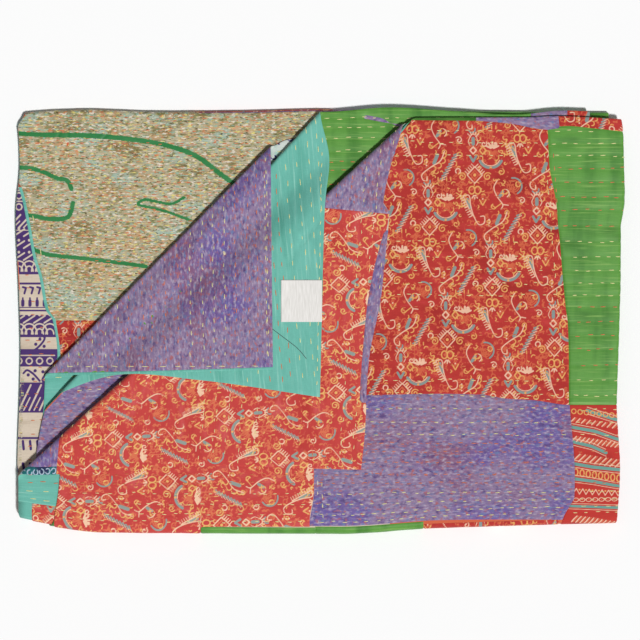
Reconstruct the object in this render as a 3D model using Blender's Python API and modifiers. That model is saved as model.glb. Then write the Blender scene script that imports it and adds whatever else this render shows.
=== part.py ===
"""A kantha quilt, folded in half across its width and then in four along its length, with the
four corners at its open end turned back one over the other, and a blank cloth label sewn on.

Units are metres. +X runs along the longer side of the folded quilt, +Y towards its open end and
+Z up. The origin is on the surface that the quilt lies on, under the middle of the folded quilt.

The quilt is one sheet. A flat sheet is drawn first, cut across where it will bend, and every point
is then carried to its place in the fold, so the outline of each layer is a short table below.
"""

import bmesh
import bpy
import numpy as np
from mathutils import Vector
from mathutils.bvhtree import BVHTree

MM = 0.001

# The cloth
THICKNESS = 1.7 * MM
PITCH = 2.6 * MM  # from one layer to the next, so a little air stays between them
CELL = 47 * MM  # of the net of points that the flat sheet starts from
BEND_STEPS = 4  # straight steps round each bend

# Where the sheet bends, along Y
OPEN_END = 264 * MM  # the free ends of layers 5 to 8, before their own outline is cut
TOP_FOLD = 260 * MM
INNER_FOLD = -233 * MM
OUTER_FOLD = -259 * MM
OUTER_BEND = 4 * MM  # how far the outer fold's inner layer stands out past OUTER_FOLD

# The widths of the slopes over which a layer sinks past the edge of the one below it
EDGE_SLOPE = 80 * MM
RIGHT_SLOPE = 95 * MM

# The layers are numbered upward from 1, and the turned-back corners lie above them. Half "a" of the
# sheet is the one whose patchwork faces up on top, and half "b" is folded under it.
#          runs: from the open end of layers 5 and 6 to the open end of layers 7 and 8
RUNS = (
    {"a": 5, "b": 6, "heading": -1, "start": OPEN_END, "end": INNER_FOLD},
    {"a": 4, "b": 3, "heading": 1, "start": INNER_FOLD, "end": TOP_FOLD},
    {"a": 1, "b": 2, "heading": -1, "start": TOP_FOLD, "end": OUTER_FOLD},
    {"a": 8, "b": 7, "heading": 1, "start": OUTER_FOLD, "end": OPEN_END},
)
#          bends between one run and the next: how far each half stands out past the fold
BENDS = (
    {"a": 0.5 * PITCH, "b": 1.5 * PITCH, "side": -1, "along": INNER_FOLD},
    {"a": 1.5 * PITCH, "b": 0.5 * PITCH, "side": 1, "along": TOP_FOLD},
    {"a": OUTER_BEND + PITCH, "b": OUTER_BEND, "side": -1, "along": OUTER_FOLD},
)

# Outlines in millimetres. The right fold, at the ends of the four runs in turn
RIGHT_FOLD = (337, 355, 362, 371, 377)
#          waves on the right fold of the top run: (y, how far the fold stands out there)
RIGHT_WAVES = ((-253, 0), (-190, 3), (-105, -2), (-50, -1), (40, 1), (116, 1), (150, 5), (230, 3), (256, -1))
#          waves on the outer and the top fold: (x, how far the fold stands out there)
OUTER_WAVES = ((-383, -16), (-330, -6), (-275, 0), (-200, 1), (26, 2), (142, -5), (372, -12))
TOP_WAVES = ((-375, -3), (-326, 0), (-295, 1), (-200, -2), (-88, -1), (0, 1), (370, -2))
#          left edges: (y, x), from the open end or the top fold down to the lower fold
LEFT_EDGES = {
    1: ((260, -371), (246, -378), (0, -374), (-190, -364), (-259, -345)),
    2: ((260, -368), (0, -367), (-259, -374)),
    3: ((260, -368), (0, -364), (-233, -364)),
    4: ((260, -371), (246, -381), (230, -379), (195, -378), (132, -383), (38, -379), (-37, -377),
        (-87, -378), (-188, -381), (-233, -366)),
    5: ((232, -342), (42, -345), (-68, -346), (-111, -348), (-233, -362)),
    6: ((234, -357), (86, -324), (-11, -309), (-91, -327), (-111, -345), (-163, -356), (-233, -364)),
    7: ((236, -334), (-11, -352), (-194, -379), (-259, -379)),
    8: ((229, -308), (100, -317), (-40, -324), (-146, -327), (-192, -327), (-259, -334)),
}
#          edges at the open end: (x, y), from the left corner to the right fold
OPEN_EDGES = {
    5: ((-342, 218), (-62, 219), (-43, 227), (-30, 229), (163, 245), (340, 262)),
    6: ((-357, 234), (-249, 245), (-117, 259), (-56, 269), (0, 262), (89, 268), (173, 263), (245, 259),
        (306, 264), (340, 263)),
    7: ((-334, 236), (-201, 234), (-106, 242), (-11, 241), (3, 232), (44, 236), (104, 247), (377, 252)),
    8: ((-308, 229), (-25, 237), (63, 243), (107, 251), (119, 254), (260, 256), (300, 258), (377, 255)),
}
#          the lines that the corners are turned back along: two points of each, the width of the roll and
#          the inset where it begins, how far the cloth above takes to climb it, and how far it is puffed up
TURN_LINES = {
    5: {"from": (-62, 219), "to": (-345, -68), "roll": 2.4, "inset": 3, "slope": 24, "puff": 1.6},
    6: {"from": (0, 262), "to": (-345, -111), "roll": 2.4, "inset": 3, "slope": 22, "puff": 1.6},
    7: {"from": (107, 249), "to": (-379, -194), "roll": 5.2, "inset": 6, "slope": 42, "puff": 0},
    8: {"from": (107, 249), "to": (-379, -194), "roll": 2.6, "inset": 6, "slope": 42, "puff": 2.2},
}
PUFF_REACH = 22 * MM
#          the turned-back corners, from the lowest up: level and the layer that each one belongs to
FLAPS = {9: 8, 10: 7, 11: 6, 12: 5}
#          air that loosens the stack: (level it lifts, height, wavelength along X and Y, shift)
LOOSE_AIR = (
    (4, 1.2 * MM, 0.43, 0.31, 0.4),
    (7, 1.5 * MM, 0.29, 0.37, 2.1),
    (11, 1.0 * MM, 0.24, 0.21, 1.2),
)

# The label, sewn on the turned-back corner of layer 6
LABEL_MIDDLE = (-23.2 * MM, 24.5 * MM)
LABEL_SIZE = (51.5 * MM, 52.7 * MM)
LABEL_THICKNESS = 1.0 * MM
LABEL_GAP = 0.35 * MM
LABEL_CELLS = 6
LABEL_FEELERS = (-4 * MM, 0, 4 * MM)  # the label lies on the highest cloth this near each of its points

RED = (0.50, 0.035, 0.03)
GREY_WHITE = (0.74, 0.72, 0.69)


def smooth_curve(rows, at):
    """A smooth curve through the rows (place, value) in millimetres, read at places in metres. It
    turns level where the rows do, so it never swings past them."""
    rows = np.array(sorted(rows), float) * MM
    place, value = rows[:, 0], rows[:, 1]
    climb = np.diff(value) / np.diff(place)
    before, after = climb[:-1], climb[1:]
    same_way = before * after > 0
    between = np.where(same_way, 2 * before * after / np.where(same_way, before + after, 1), 0)
    slope = np.concatenate((climb[:1], between, climb[-1:]))
    at = np.clip(at, place[0], place[-1])
    k = np.clip(np.searchsorted(place, at) - 1, 0, len(place) - 2)
    span = place[k + 1] - place[k]
    t = (at - place[k]) / span
    rise = 3 * t**2 - 2 * t**3
    bulge = (t**3 - 2 * t**2 + t) * slope[k] + (t**3 - t**2) * slope[k + 1]
    return value[k] * (1 - rise) + value[k + 1] * rise + span * bulge


def ramp(inside, width):
    """1 where inside is positive, falling smoothly to 0 at width outside the edge."""
    t = np.clip(1 + inside / width, 0, 1)
    return t * t * (3 - 2 * t)


def run_lengths():
    """The length of cloth in each run and in the bend that follows it."""
    runs = [abs(run["end"] - run["start"]) for run in RUNS]
    bends = [np.pi * (bend["a"] + bend["b"]) / 2 for bend in BENDS] + [0.0]
    return runs, bends


def run_starts():
    runs, bends = run_lengths()
    starts = [0.0]
    for run, bend in zip(runs, bends):
        starts.append(starts[-1] + run + bend)
    return starts


SHEET_LENGTH = run_starts()[-1]
HALF_BEND = np.pi * PITCH / 4  # of cloth on either side of the right fold's crown


def right_fold(v):
    """Where the right fold is, for a place along the length of the cloth."""
    return np.interp(v, run_starts(), np.array(RIGHT_FOLD) * MM)


def run_of(level):
    return next(i for i, run in enumerate(RUNS) if level in (run["a"], run["b"]))


def along_cloth(level, y):
    """The place along the cloth's length of the points of a layer at y."""
    i = run_of(level)
    return run_starts()[i] + (y - RUNS[i]["start"]) * RUNS[i]["heading"]


def turn_frame(layer):
    """A point of the line that a corner is turned back along, and the direction that it is turned from."""
    line = TURN_LINES[layer]
    start, end = np.array(line["from"]) * MM, np.array(line["to"]) * MM
    along = (end - start) / np.linalg.norm(end - start)
    away = np.array((along[1], -along[0]))
    return start - away * line["inset"] * MM, away


def past_line(layer, x, y):
    start, away = turn_frame(layer)
    return (x - start[0]) * away[0] + (y - start[1]) * away[1]


def roll_length(layer):
    """Cloth that goes round the roll of a turned-back corner."""
    line = TURN_LINES[layer]
    levels = 3 if layer == 7 else 1
    return np.pi * (line["roll"] * MM + levels * PITCH / 2) / 2


def unfolded(layer, x, y):
    """Where a point that now lies in a turned-back corner was before it was turned."""
    away = turn_frame(layer)[1]
    inside = -past_line(layer, x, y)
    shift = 2 * inside + roll_length(layer)
    return x + away[0] * shift, y + away[1] * shift


def lies_in_outline(layer, x, y, flap):
    """1 over the layer's own outline and less past its edges, with its corner not yet turned back."""
    run = RUNS[run_of(layer)]
    cover = ramp(x - smooth_curve(LEFT_EDGES[layer], y), EDGE_SLOPE)
    if layer in OPEN_EDGES:
        cover = cover * ramp(smooth_curve(OPEN_EDGES[layer], x) - y, EDGE_SLOPE)
    if flap:
        return cover
    cover = cover * ramp(right_fold(along_cloth(layer, y)) - x, RIGHT_SLOPE)
    return cover * ramp(y - min(run["start"], run["end"]), EDGE_SLOPE)


def cover_of(level, x, y):
    """How much of a layer's thickness the layers above it have to climb at each point."""
    layer = FLAPS.get(level, level)
    if level in FLAPS:
        cover = lies_in_outline(layer, *unfolded(layer, x, y), True)
    else:
        cover = lies_in_outline(layer, x, y, False)
    if layer in TURN_LINES:
        cover = cover * ramp(-past_line(layer, x, y), TURN_LINES[layer]["slope"] * MM)
    return cover


def air_below(level, x, y):
    """Air between a level and the one below it: loose cloth, and the puffed rolls of the corners."""
    air = np.zeros_like(x)
    for lifted, height, wave_x, wave_y, shift in LOOSE_AIR:
        if lifted == level:
            wave = np.sin(2 * np.pi * x / wave_x + shift) * np.cos(2 * np.pi * y / wave_y - shift)
            air = air + height * (1 + wave) / 2
    if level in FLAPS:
        layer = FLAPS[level]
        air = air + TURN_LINES[layer]["puff"] * MM * np.exp(-((past_line(layer, x, y) / PUFF_REACH) ** 2))
    return air


def heights(x, y):
    """The height of the middle of every level at each point, as rows 1 to 12 of one array."""
    z = [np.zeros_like(x), np.full_like(x, THICKNESS / 2)]
    for level in range(2, 13):
        z.append(z[-1] + PITCH * cover_of(level - 1, x, y) + air_below(level, x, y))
    return np.array(z)


def mixed_height(z, run, to_a):
    """The height of a run's cloth, which passes from half b to half a round the right fold."""
    return z[run["b"]] * (1 - to_a) + z[run["a"]] * to_a


def fold_waves(x, y):
    """How far the outer and the top fold stand out, fading away from each fold."""
    outer = smooth_curve(OUTER_WAVES, x) * ramp(OUTER_FOLD - y, 60 * MM)
    top = smooth_curve(TOP_WAVES, x) * ramp(y - TOP_FOLD, 60 * MM)
    return -outer + top


def fold(u, v):
    """Carries points of the flat sheet to the folded quilt. u is the distance from the right fold,
    positive in half a, and v the distance along the cloth."""
    turn = np.clip(u / (PITCH / 2), -np.pi / 2, np.pi / 2)
    to_a = (1 + np.sin(turn)) / 2
    from_fold = np.maximum(np.abs(u) - HALF_BEND, 0)
    x = right_fold(v) - from_fold + PITCH / 2 * np.cos(turn)
    y, z = np.zeros_like(x), np.zeros_like(x)
    starts, (lengths, bend_lengths) = run_starts(), run_lengths()

    for i, run in enumerate(RUNS):
        first = -np.inf if i == 0 else starts[i]
        last = np.inf if i == 3 else starts[i] + lengths[i]
        on = (v >= first) & (v <= last)
        y[on] = run["start"] + run["heading"] * (v[on] - starts[i])
        if i in (1, 2, 3):
            y[on] += fold_waves(x[on], y[on]) * (1 if i != 1 else y[on] > 0)
        if i == 3:
            near_fold = ramp(-from_fold[on], 160 * MM)
            x[on] += smooth_curve(RIGHT_WAVES, y[on]) * near_fold
        z[on] = mixed_height(heights(x[on], y[on]), run, to_a[on])

    for i, bend in enumerate(BENDS):
        start = starts[i] + lengths[i]
        on = (v > start) & (v < start + bend_lengths[i])
        angle = np.pi * ((v[on] - start) / bend_lengths[i] - 0.5)
        middle = np.full(angle.shape, bend["along"])
        if i > 0:
            middle += fold_waves(x[on], middle)
        z_all = heights(x[on], middle)
        before = mixed_height(z_all, RUNS[i], to_a[on])
        after = mixed_height(z_all, RUNS[i + 1], to_a[on])
        reach = bend["b"] * (1 - to_a[on]) + bend["a"] * to_a[on]
        y[on] = middle + bend["side"] * reach * np.cos(angle)
        z[on] = (before + after) / 2 + (after - before) / 2 * np.sin(angle)

    for layer, line in TURN_LINES.items():
        i = run_of(layer)
        in_run = (v <= lengths[0]) if i == 0 else (v >= starts[3])
        in_half = (u > 0) if RUNS[i]["a"] == layer else (u < 0)
        past = past_line(layer, x, y)
        turn_back(layer, line, in_run & in_half & (past > 0), past, x, y, z)
    return np.stack((x, y, z), axis=-1)


def turn_back(layer, line, on, past, x, y, z):
    """Turns the corner of a layer back along its line, round a roll and onto the flap's level."""
    start, away = turn_frame(layer)
    flap = next(level for level, owner in FLAPS.items() if owner == layer)
    arc = roll_length(layer)
    on_x, on_y, d = x[on], y[on], past[on]
    foot_x, foot_y = on_x - away[0] * d, on_y - away[1] * d
    angle = np.pi * (np.minimum(d / arc, 1) - 0.5)
    reach = np.where(d < arc, line["roll"] * MM * np.cos(angle), arc - d)
    new_x, new_y = foot_x + away[0] * reach, foot_y + away[1] * reach
    at_line = heights(foot_x, foot_y)
    low, high = at_line[layer], at_line[flap]
    rolled = (low + high) / 2 + (high - low) / 2 * np.sin(angle)
    z[on] = np.where(d < arc, rolled, heights(new_x, new_y)[flap])
    x[on], y[on] = new_x, new_y


def flat_grid():
    """The flat sheet as a net of squares, its edges drawn to the outlines of the layers."""
    across, down = round(1.45 / CELL / 2) * 2, round(SHEET_LENGTH / CELL)
    bm = bmesh.new()
    bmesh.ops.create_grid(bm, x_segments=across, y_segments=down, size=1)
    spots = np.array([vert.co[:2] for vert in bm.verts])
    share, v = spots[:, 0], (spots[:, 1] + 1) / 2 * SHEET_LENGTH
    half_a = share > 0
    width = half_width(v, half_a)
    u = share * width
    x = right_fold(v) - np.maximum(np.abs(u) - HALF_BEND, 0)
    quarter = SHEET_LENGTH / 4
    for run, layers in ((0, (5, 6)), (3, (8, 7))):
        edge = np.where(half_a, smooth_curve(OPEN_EDGES[layers[0]], x), smooth_curve(OPEN_EDGES[layers[1]], x))
        short = edge - OPEN_END
        near = np.clip(1 - v / quarter, 0, 1) if run == 0 else np.clip(1 - (SHEET_LENGTH - v) / quarter, 0, 1)
        v = v - short * near if run == 0 else v + short * near
    u = share * half_width(v, half_a)
    for vert, place in zip(bm.verts, zip(u, v)):
        vert.co = (*place, 0)
    return bm


def half_width(v, half_a):
    """The width of each half of the sheet, from the right fold to its left edge."""
    starts, (lengths, bend_lengths) = run_starts(), run_lengths()
    width = np.zeros_like(v)
    for half, chosen in (("a", half_a), ("b", ~half_a)):
        places, edges = [], []
        for i, run in enumerate(RUNS):
            rows = np.linspace(run["start"], run["end"], 25)
            places.extend(starts[i] + np.abs(rows - run["start"]))
            edges.extend(smooth_curve(LEFT_EDGES[run[half]], rows))
        edge = np.interp(v[chosen], places, edges)
        width[chosen] = right_fold(v[chosen]) - edge + HALF_BEND
    return width


def to_flat(layer, x, y):
    """The place on the flat sheet of a point of a layer, before its corner is turned back."""
    v = along_cloth(layer, y)
    u = right_fold(v) - x + HALF_BEND
    return u if RUNS[run_of(layer)]["a"] == layer else -u, v


def cut_along(bm, a, b, chosen):
    """Cuts the flat sheet's chosen faces along the line from a to b."""
    direction = Vector((b[0] - a[0], b[1] - a[1], 0)).normalized()
    faces = [face for face in bm.faces if chosen(face.calc_center_median())]
    edges = {edge for face in faces for edge in face.edges}
    verts = {vert for face in faces for vert in face.verts}
    bmesh.ops.bisect_plane(
        bm, geom=[*verts, *edges, *faces], dist=0.2 * MM,
        plane_co=(a[0], a[1], 0), plane_no=(direction.y, -direction.x, 0),
    )


def cut_bends(bm):
    """Cuts the flat sheet where the right fold and the three folds across it bend."""
    for step in range(-BEND_STEPS // 2, BEND_STEPS // 2 + 1):
        place = HALF_BEND * step / (BEND_STEPS / 2)
        cut_along(bm, (place, 0), (place, 1), lambda spot: True)
    starts, (lengths, bend_lengths) = run_starts(), run_lengths()
    for i in range(3):
        for step in range(BEND_STEPS + 1):
            place = starts[i] + lengths[i] + bend_lengths[i] * step / BEND_STEPS
            cut_along(bm, (0, place), (1, place), lambda spot: True)


def cut_corner(bm, layer, crossed, offset):
    """Cuts a layer's corner along the line of a turned-back corner that it passes over, or its own."""
    run = run_of(layer)
    limit = SHEET_LENGTH / 4
    sign = 1 if RUNS[run]["a"] == layer else -1
    start, away = turn_frame(crossed)
    along = np.array((-away[1], away[0]))
    spots = []
    for point in (start, start + along * 100 * MM):
        spot = point + away * offset
        if crossed != layer:
            spot = np.array(unfolded(layer, *spot))
        spots.append(to_flat(layer, *spot))

    def chosen(spot):
        return spot.x * sign > 0 and (spot.y < limit if run == 0 else spot.y > SHEET_LENGTH - limit)

    cut_along(bm, *spots, chosen)


def cut_corners(bm):
    """Cuts the four corners across their rolls, and where they climb the rolls below them."""
    for layer in TURN_LINES:
        arc = roll_length(layer)
        for step in range(BEND_STEPS + 1):
            cut_corner(bm, layer, layer, arc * step / BEND_STEPS)
        cut_corner(bm, layer, layer, arc + 16 * MM)
        cut_corner(bm, layer, layer, arc + 34 * MM)
    for layer, crossed in ((5, 6), (6, 7), (5, 7)):
        slope = TURN_LINES[crossed]["slope"] * MM
        for share in (1.0, 0.75, 0.5, 0.25, 0.0, -0.4):
            cut_corner(bm, layer, crossed, slope * share)


def cloth_material(name, colour):
    material = bpy.data.materials.new(name)
    material.use_nodes = True
    shader = material.node_tree.nodes["Principled BSDF"]
    shader.inputs["Base Color"].default_value = (*colour, 1)
    shader.inputs["Roughness"].default_value = 0.85
    return material


def new_object(name, bm, thickness, offset, material, collection):
    """Makes an open sheet of points into a closed cloth of even thickness."""
    mesh = bpy.data.meshes.new(name)
    bm.to_mesh(mesh)
    bm.free()
    thing = bpy.data.objects.new(name, mesh)
    collection.objects.link(thing)
    mesh.materials.append(material)
    solidify = thing.modifiers.new("Thickness", "SOLIDIFY")
    solidify.thickness = thickness
    solidify.offset = offset
    return thing


def make_quilt(collection):
    bm = flat_grid()
    cut_bends(bm)
    cut_corners(bm)
    bmesh.ops.triangulate(bm, faces=bm.faces[:], quad_method="BEAUTY", ngon_method="BEAUTY")
    spots = np.array([vert.co[:2] for vert in bm.verts])
    for vert, place in zip(bm.verts, fold(spots[:, 0], spots[:, 1])):
        vert.co = place
    bmesh.ops.recalc_face_normals(bm, faces=bm.faces)
    return new_object("quilt", bm, THICKNESS, 0, cloth_material("patchwork_cloth", RED), collection)


def make_label(collection, quilt):
    """The label follows the cloth that it is sewn to, LABEL_GAP above it."""
    bm = bmesh.new()
    bmesh.ops.create_grid(bm, x_segments=LABEL_CELLS, y_segments=LABEL_CELLS, size=0.5)
    cloth = BVHTree.FromObject(quilt, bpy.context.evaluated_depsgraph_get())
    down = Vector((0, 0, -1))
    for vert in bm.verts:
        x = LABEL_MIDDLE[0] + vert.co.x * LABEL_SIZE[0]
        y = LABEL_MIDDLE[1] + vert.co.y * LABEL_SIZE[1]
        around = [Vector((x + dx, y + dy, 1)) for dx in LABEL_FEELERS for dy in LABEL_FEELERS]
        highest = max(cloth.ray_cast(spot, down)[0].z for spot in around)
        vert.co = (x, y, highest + LABEL_GAP)
    return new_object("label", bm, LABEL_THICKNESS, 1, cloth_material("label_cloth", GREY_WHITE), collection)


def main():
    for thing in list(bpy.data.objects):
        bpy.data.objects.remove(thing)
    collection = bpy.data.collections.new("kantha_quilt")
    bpy.context.scene.collection.children.link(collection)
    quilt = make_quilt(collection)
    bpy.context.view_layer.update()
    make_label(collection, quilt)
    bpy.context.view_layer.update()


main()
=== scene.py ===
# %% [markdown]
# A kantha quilt, folded into a flat pile with its open corners turned back. A kantha is made of
# worn saris laid on each other and held by long rows of running stitch, so this lesson makes one
# sheet of cloth, carries it into its folds, lays the pieces of patchwork on it and sews them down.
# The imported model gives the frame: everything here sits in the same metres.

import bmesh
import bpy
import numpy as np
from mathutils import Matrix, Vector


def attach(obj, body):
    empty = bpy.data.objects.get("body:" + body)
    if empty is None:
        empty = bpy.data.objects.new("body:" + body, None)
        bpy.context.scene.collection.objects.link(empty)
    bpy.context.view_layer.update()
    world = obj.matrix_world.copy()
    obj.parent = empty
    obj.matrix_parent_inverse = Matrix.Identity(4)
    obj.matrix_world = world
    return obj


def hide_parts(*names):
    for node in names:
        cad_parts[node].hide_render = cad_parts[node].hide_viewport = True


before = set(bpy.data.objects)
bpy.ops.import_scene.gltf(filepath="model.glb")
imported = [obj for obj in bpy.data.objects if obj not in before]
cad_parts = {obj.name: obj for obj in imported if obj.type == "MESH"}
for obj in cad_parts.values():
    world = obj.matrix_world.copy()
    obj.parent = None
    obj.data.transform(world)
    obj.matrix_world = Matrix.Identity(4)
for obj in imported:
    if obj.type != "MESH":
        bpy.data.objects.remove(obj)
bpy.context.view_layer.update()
MM = 0.001

# %% [markdown]
# The photograph looks straight down on the pile, so the camera does too. A long lens from far away
# keeps the layers from leaning. The picture is as wide as the floor that it shows.

# %% Camera
LENS = 200.0
SENSOR = 36.0
PICTURE_WIDTH = 803.8 * MM
PILE_HEIGHT = 20 * MM
camera_data = bpy.data.cameras.new("camera")
camera_data.lens = LENS
camera_data.sensor_width = SENSOR
camera = bpy.data.objects.new("camera", camera_data)
bpy.context.scene.collection.objects.link(camera)
camera_height = PICTURE_WIDTH * LENS / SENSOR + PILE_HEIGHT
camera.location = (0, 0.0006, camera_height)
bpy.context.scene.camera = camera
print("camera height", round(camera_height, 3))

# %% [markdown]
# The quilt lies on a white table. A broad soft sun from the lower right, well above the cloth, gives
# each turned-back roll its dark far side. The rest of the light comes evenly from the room.


# %% Floor and light
def tint(red, green, blue):
    """A colour as a painter reads it off a screen, 0 to 255, made linear for the shader."""
    share = np.array((red, green, blue)) / 255
    linear = np.where(share <= 0.04045, share / 12.92, ((share + 0.055) / 1.055) ** 2.4)
    return (*linear.tolist(), 1.0)


def deselect_all():
    for thing in bpy.context.selected_objects:
        thing.select_set(False)


deselect_all()
bpy.ops.mesh.primitive_plane_add(size=30)
floor = bpy.context.object
floor.name = "floor"
floor_paint = bpy.data.materials.new("floor_paint")
floor_paint.use_nodes = True
floor_shader = floor_paint.node_tree.nodes["Principled BSDF"]
floor_shader.inputs["Base Color"].default_value = (0.93, 0.93, 0.93, 1)
floor_shader.inputs["Roughness"].default_value = 0.9
floor_shader.inputs["Specular IOR Level"].default_value = 0.1
floor.data.materials.append(floor_paint)

SUN_TURN = (20, 16, 0)
SUN_STRENGTH = 3.0
SUN_SPREAD = 7
ROOM_LIGHT = 0.18
sun_data = bpy.data.lights.new("window", "SUN")
sun_data.energy = SUN_STRENGTH
sun_data.angle = np.radians(SUN_SPREAD)
sun = bpy.data.objects.new("window", sun_data)
sun.rotation_euler = np.radians(SUN_TURN)
bpy.context.scene.collection.objects.link(sun)

world = bpy.data.worlds.new("room")
bpy.context.scene.world = world
world.use_nodes = True
world.node_tree.nodes["Background"].inputs["Color"].default_value = (1, 1, 1, 1)
world.node_tree.nodes["Background"].inputs["Strength"].default_value = ROOM_LIGHT
bpy.context.scene.view_settings.view_transform = "Standard"

# %% [markdown]
# The fold. The cloth is one long sheet: folded in half across its width, then in four along its
# length. Layers are numbered upward, and half a is the one whose patchwork faces up on top. A flat
# point (u, v) is u from the right fold and v along the cloth, and fold() carries it to its place.
# A formula is better here than a simulation: each layer has to end on the outline it has.

# %% Sizes of the pile
THICKNESS = 1.7 * MM
PITCH = 2.6 * MM
OPEN_END = 264 * MM
TOP_FOLD = 260 * MM
INNER_FOLD = -233 * MM
OUTER_FOLD = -259 * MM
OUTER_BEND = 4 * MM
EDGE_SLOPE = 80 * MM
RIGHT_SLOPE = 95 * MM
RUNS = (
    {"a": 5, "b": 6, "heading": -1, "start": OPEN_END, "end": INNER_FOLD},
    {"a": 4, "b": 3, "heading": 1, "start": INNER_FOLD, "end": TOP_FOLD},
    {"a": 1, "b": 2, "heading": -1, "start": TOP_FOLD, "end": OUTER_FOLD},
    {"a": 8, "b": 7, "heading": 1, "start": OUTER_FOLD, "end": OPEN_END},
)
BENDS = (
    {"a": 0.5 * PITCH, "b": 1.5 * PITCH, "side": -1, "along": INNER_FOLD},
    {"a": 1.5 * PITCH, "b": 0.5 * PITCH, "side": 1, "along": TOP_FOLD},
    {"a": OUTER_BEND + PITCH, "b": OUTER_BEND, "side": -1, "along": OUTER_FOLD},
)
RIGHT_FOLD = (337, 355, 362, 371, 377)
RIGHT_WAVES = ((-253, 0), (-190, 3), (-105, -2), (-50, -1), (40, 1), (116, 1), (150, 5), (230, 3), (256, -1))
OUTER_WAVES = ((-383, -16), (-330, -6), (-275, 0), (-200, 1), (26, 2), (142, -5), (372, -12))
TOP_WAVES = ((-375, -3), (-326, 0), (-295, 1), (-200, -2), (-88, -1), (0, 1), (370, -2))
LEFT_EDGES = {
    1: ((260, -371), (246, -378), (0, -374), (-190, -364), (-259, -345)),
    2: ((260, -368), (0, -367), (-259, -374)),
    3: ((260, -368), (0, -364), (-233, -364)),
    4: ((260, -371), (246, -381), (230, -379), (195, -378), (132, -383), (38, -379), (-37, -377),
        (-87, -378), (-188, -381), (-233, -366)),
    5: ((232, -342), (42, -345), (-68, -346), (-111, -348), (-233, -362)),
    6: ((234, -357), (86, -324), (-11, -309), (-91, -327), (-111, -345), (-163, -356), (-233, -364)),
    7: ((236, -334), (-11, -352), (-194, -379), (-259, -379)),
    8: ((229, -308), (100, -317), (-40, -324), (-146, -327), (-192, -327), (-259, -334)),
}
OPEN_EDGES = {
    5: ((-342, 218), (-62, 219), (-43, 227), (-30, 229), (163, 245), (340, 262)),
    6: ((-357, 234), (-249, 245), (-117, 259), (-56, 269), (0, 262), (89, 268), (173, 263), (245, 259),
        (306, 264), (340, 263)),
    7: ((-334, 236), (-201, 234), (-106, 242), (-11, 241), (3, 232), (44, 236), (104, 247), (377, 252)),
    8: ((-308, 222), (-201, 223), (-106, 229), (-11, 229), (3, 222), (44, 225), (90, 236), (107, 247),
        (122, 254), (260, 256), (300, 258), (377, 255)),
}
TURN_LINES = {
    5: {"from": (-62, 219), "to": (-345, -68), "roll": 2.4, "inset": 3, "slope": 24, "puff": 4.2},
    6: {"from": (0, 262), "to": (-345, -111), "roll": 2.4, "inset": 3, "slope": 22, "puff": 3.4},
    7: {"from": (107, 249), "to": (-379, -194), "roll": 5.2, "inset": 6, "slope": 42, "puff": 0},
    8: {"from": (107, 249), "to": (-379, -194), "roll": 2.6, "inset": 6, "slope": 42, "puff": 4.0},
}
ROLL_FALL = 11 * MM
ROLL_CLIMB = 6 * MM
FLAPS = {9: 8, 10: 7, 11: 6, 12: 5}
#          flaps that bridge the roll of a layer below them, and how far to each side, in millimetres
BRIDGES = {11: (8, 35), 12: (6, 22)}
LOOSE_AIR = (
    (4, 1.2 * MM, 0.43, 0.31, 0.4),
    (7, 1.5 * MM, 0.29, 0.37, 2.1),
    (11, 1.0 * MM, 0.24, 0.21, 1.2),
)


# %% Curves and ramps
def smooth_curve(rows, at):
    """A smooth curve through the rows (place, value) in millimetres, read at places in metres. It
    turns level where the rows do, so it never swings past them."""
    rows = np.array(sorted(rows), float) * MM
    place, value = rows[:, 0], rows[:, 1]
    climb = np.diff(value) / np.diff(place)
    before, after = climb[:-1], climb[1:]
    same_way = before * after > 0
    between = np.where(same_way, 2 * before * after / np.where(same_way, before + after, 1), 0)
    slope = np.concatenate((climb[:1], between, climb[-1:]))
    at = np.clip(at, place[0], place[-1])
    k = np.clip(np.searchsorted(place, at) - 1, 0, len(place) - 2)
    span = place[k + 1] - place[k]
    t = (at - place[k]) / span
    rise = 3 * t**2 - 2 * t**3
    bulge = (t**3 - 2 * t**2 + t) * slope[k] + (t**3 - t**2) * slope[k + 1]
    return value[k] * (1 - rise) + value[k + 1] * rise + span * bulge


def ramp(inside, width):
    """1 where inside is positive, falling smoothly to 0 at width outside the edge."""
    t = np.clip(1 + inside / width, 0, 1)
    return t * t * (3 - 2 * t)


# %% Places along the cloth
RUN_LENGTHS = [abs(run["end"] - run["start"]) for run in RUNS]
BEND_LENGTHS = [np.pi * (bend["a"] + bend["b"]) / 2 for bend in BENDS] + [0.0]
RUN_STARTS = np.concatenate(([0.0], np.cumsum(np.add(RUN_LENGTHS, BEND_LENGTHS))))
SHEET_LENGTH = RUN_STARTS[-1]
HALF_BEND = np.pi * PITCH / 4
print("the cloth is", round(SHEET_LENGTH, 3), "m long")


def right_fold(v):
    """Where the right fold is, for a place along the length of the cloth."""
    return np.interp(v, RUN_STARTS, np.array(RIGHT_FOLD) * MM)


def run_of(layer):
    return next(i for i, run in enumerate(RUNS) if layer in (run["a"], run["b"]))


def along_cloth(layer, y):
    """The place along the cloth's length of the points of a layer at y."""
    i = run_of(layer)
    return RUN_STARTS[i] + (y - RUNS[i]["start"]) * RUNS[i]["heading"]


def is_half_a(layer):
    return RUNS[run_of(layer)]["a"] == layer


def to_flat(layer, x, y):
    """The place on the flat sheet of a point of a layer, before its corner is turned back."""
    v = along_cloth(layer, y)
    u = right_fold(v) - x + HALF_BEND
    return u if is_half_a(layer) else -u, v


# %% The turned-back corners
def turn_frame(layer):
    """A point of the line that a corner is turned back along, and the direction it is turned from."""
    line = TURN_LINES[layer]
    start, end = np.array(line["from"]) * MM, np.array(line["to"]) * MM
    along = (end - start) / np.linalg.norm(end - start)
    away = np.array((along[1], -along[0]))
    return start - away * line["inset"] * MM, away


def past_line(layer, x, y):
    start, away = turn_frame(layer)
    return (x - start[0]) * away[0] + (y - start[1]) * away[1]


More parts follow.
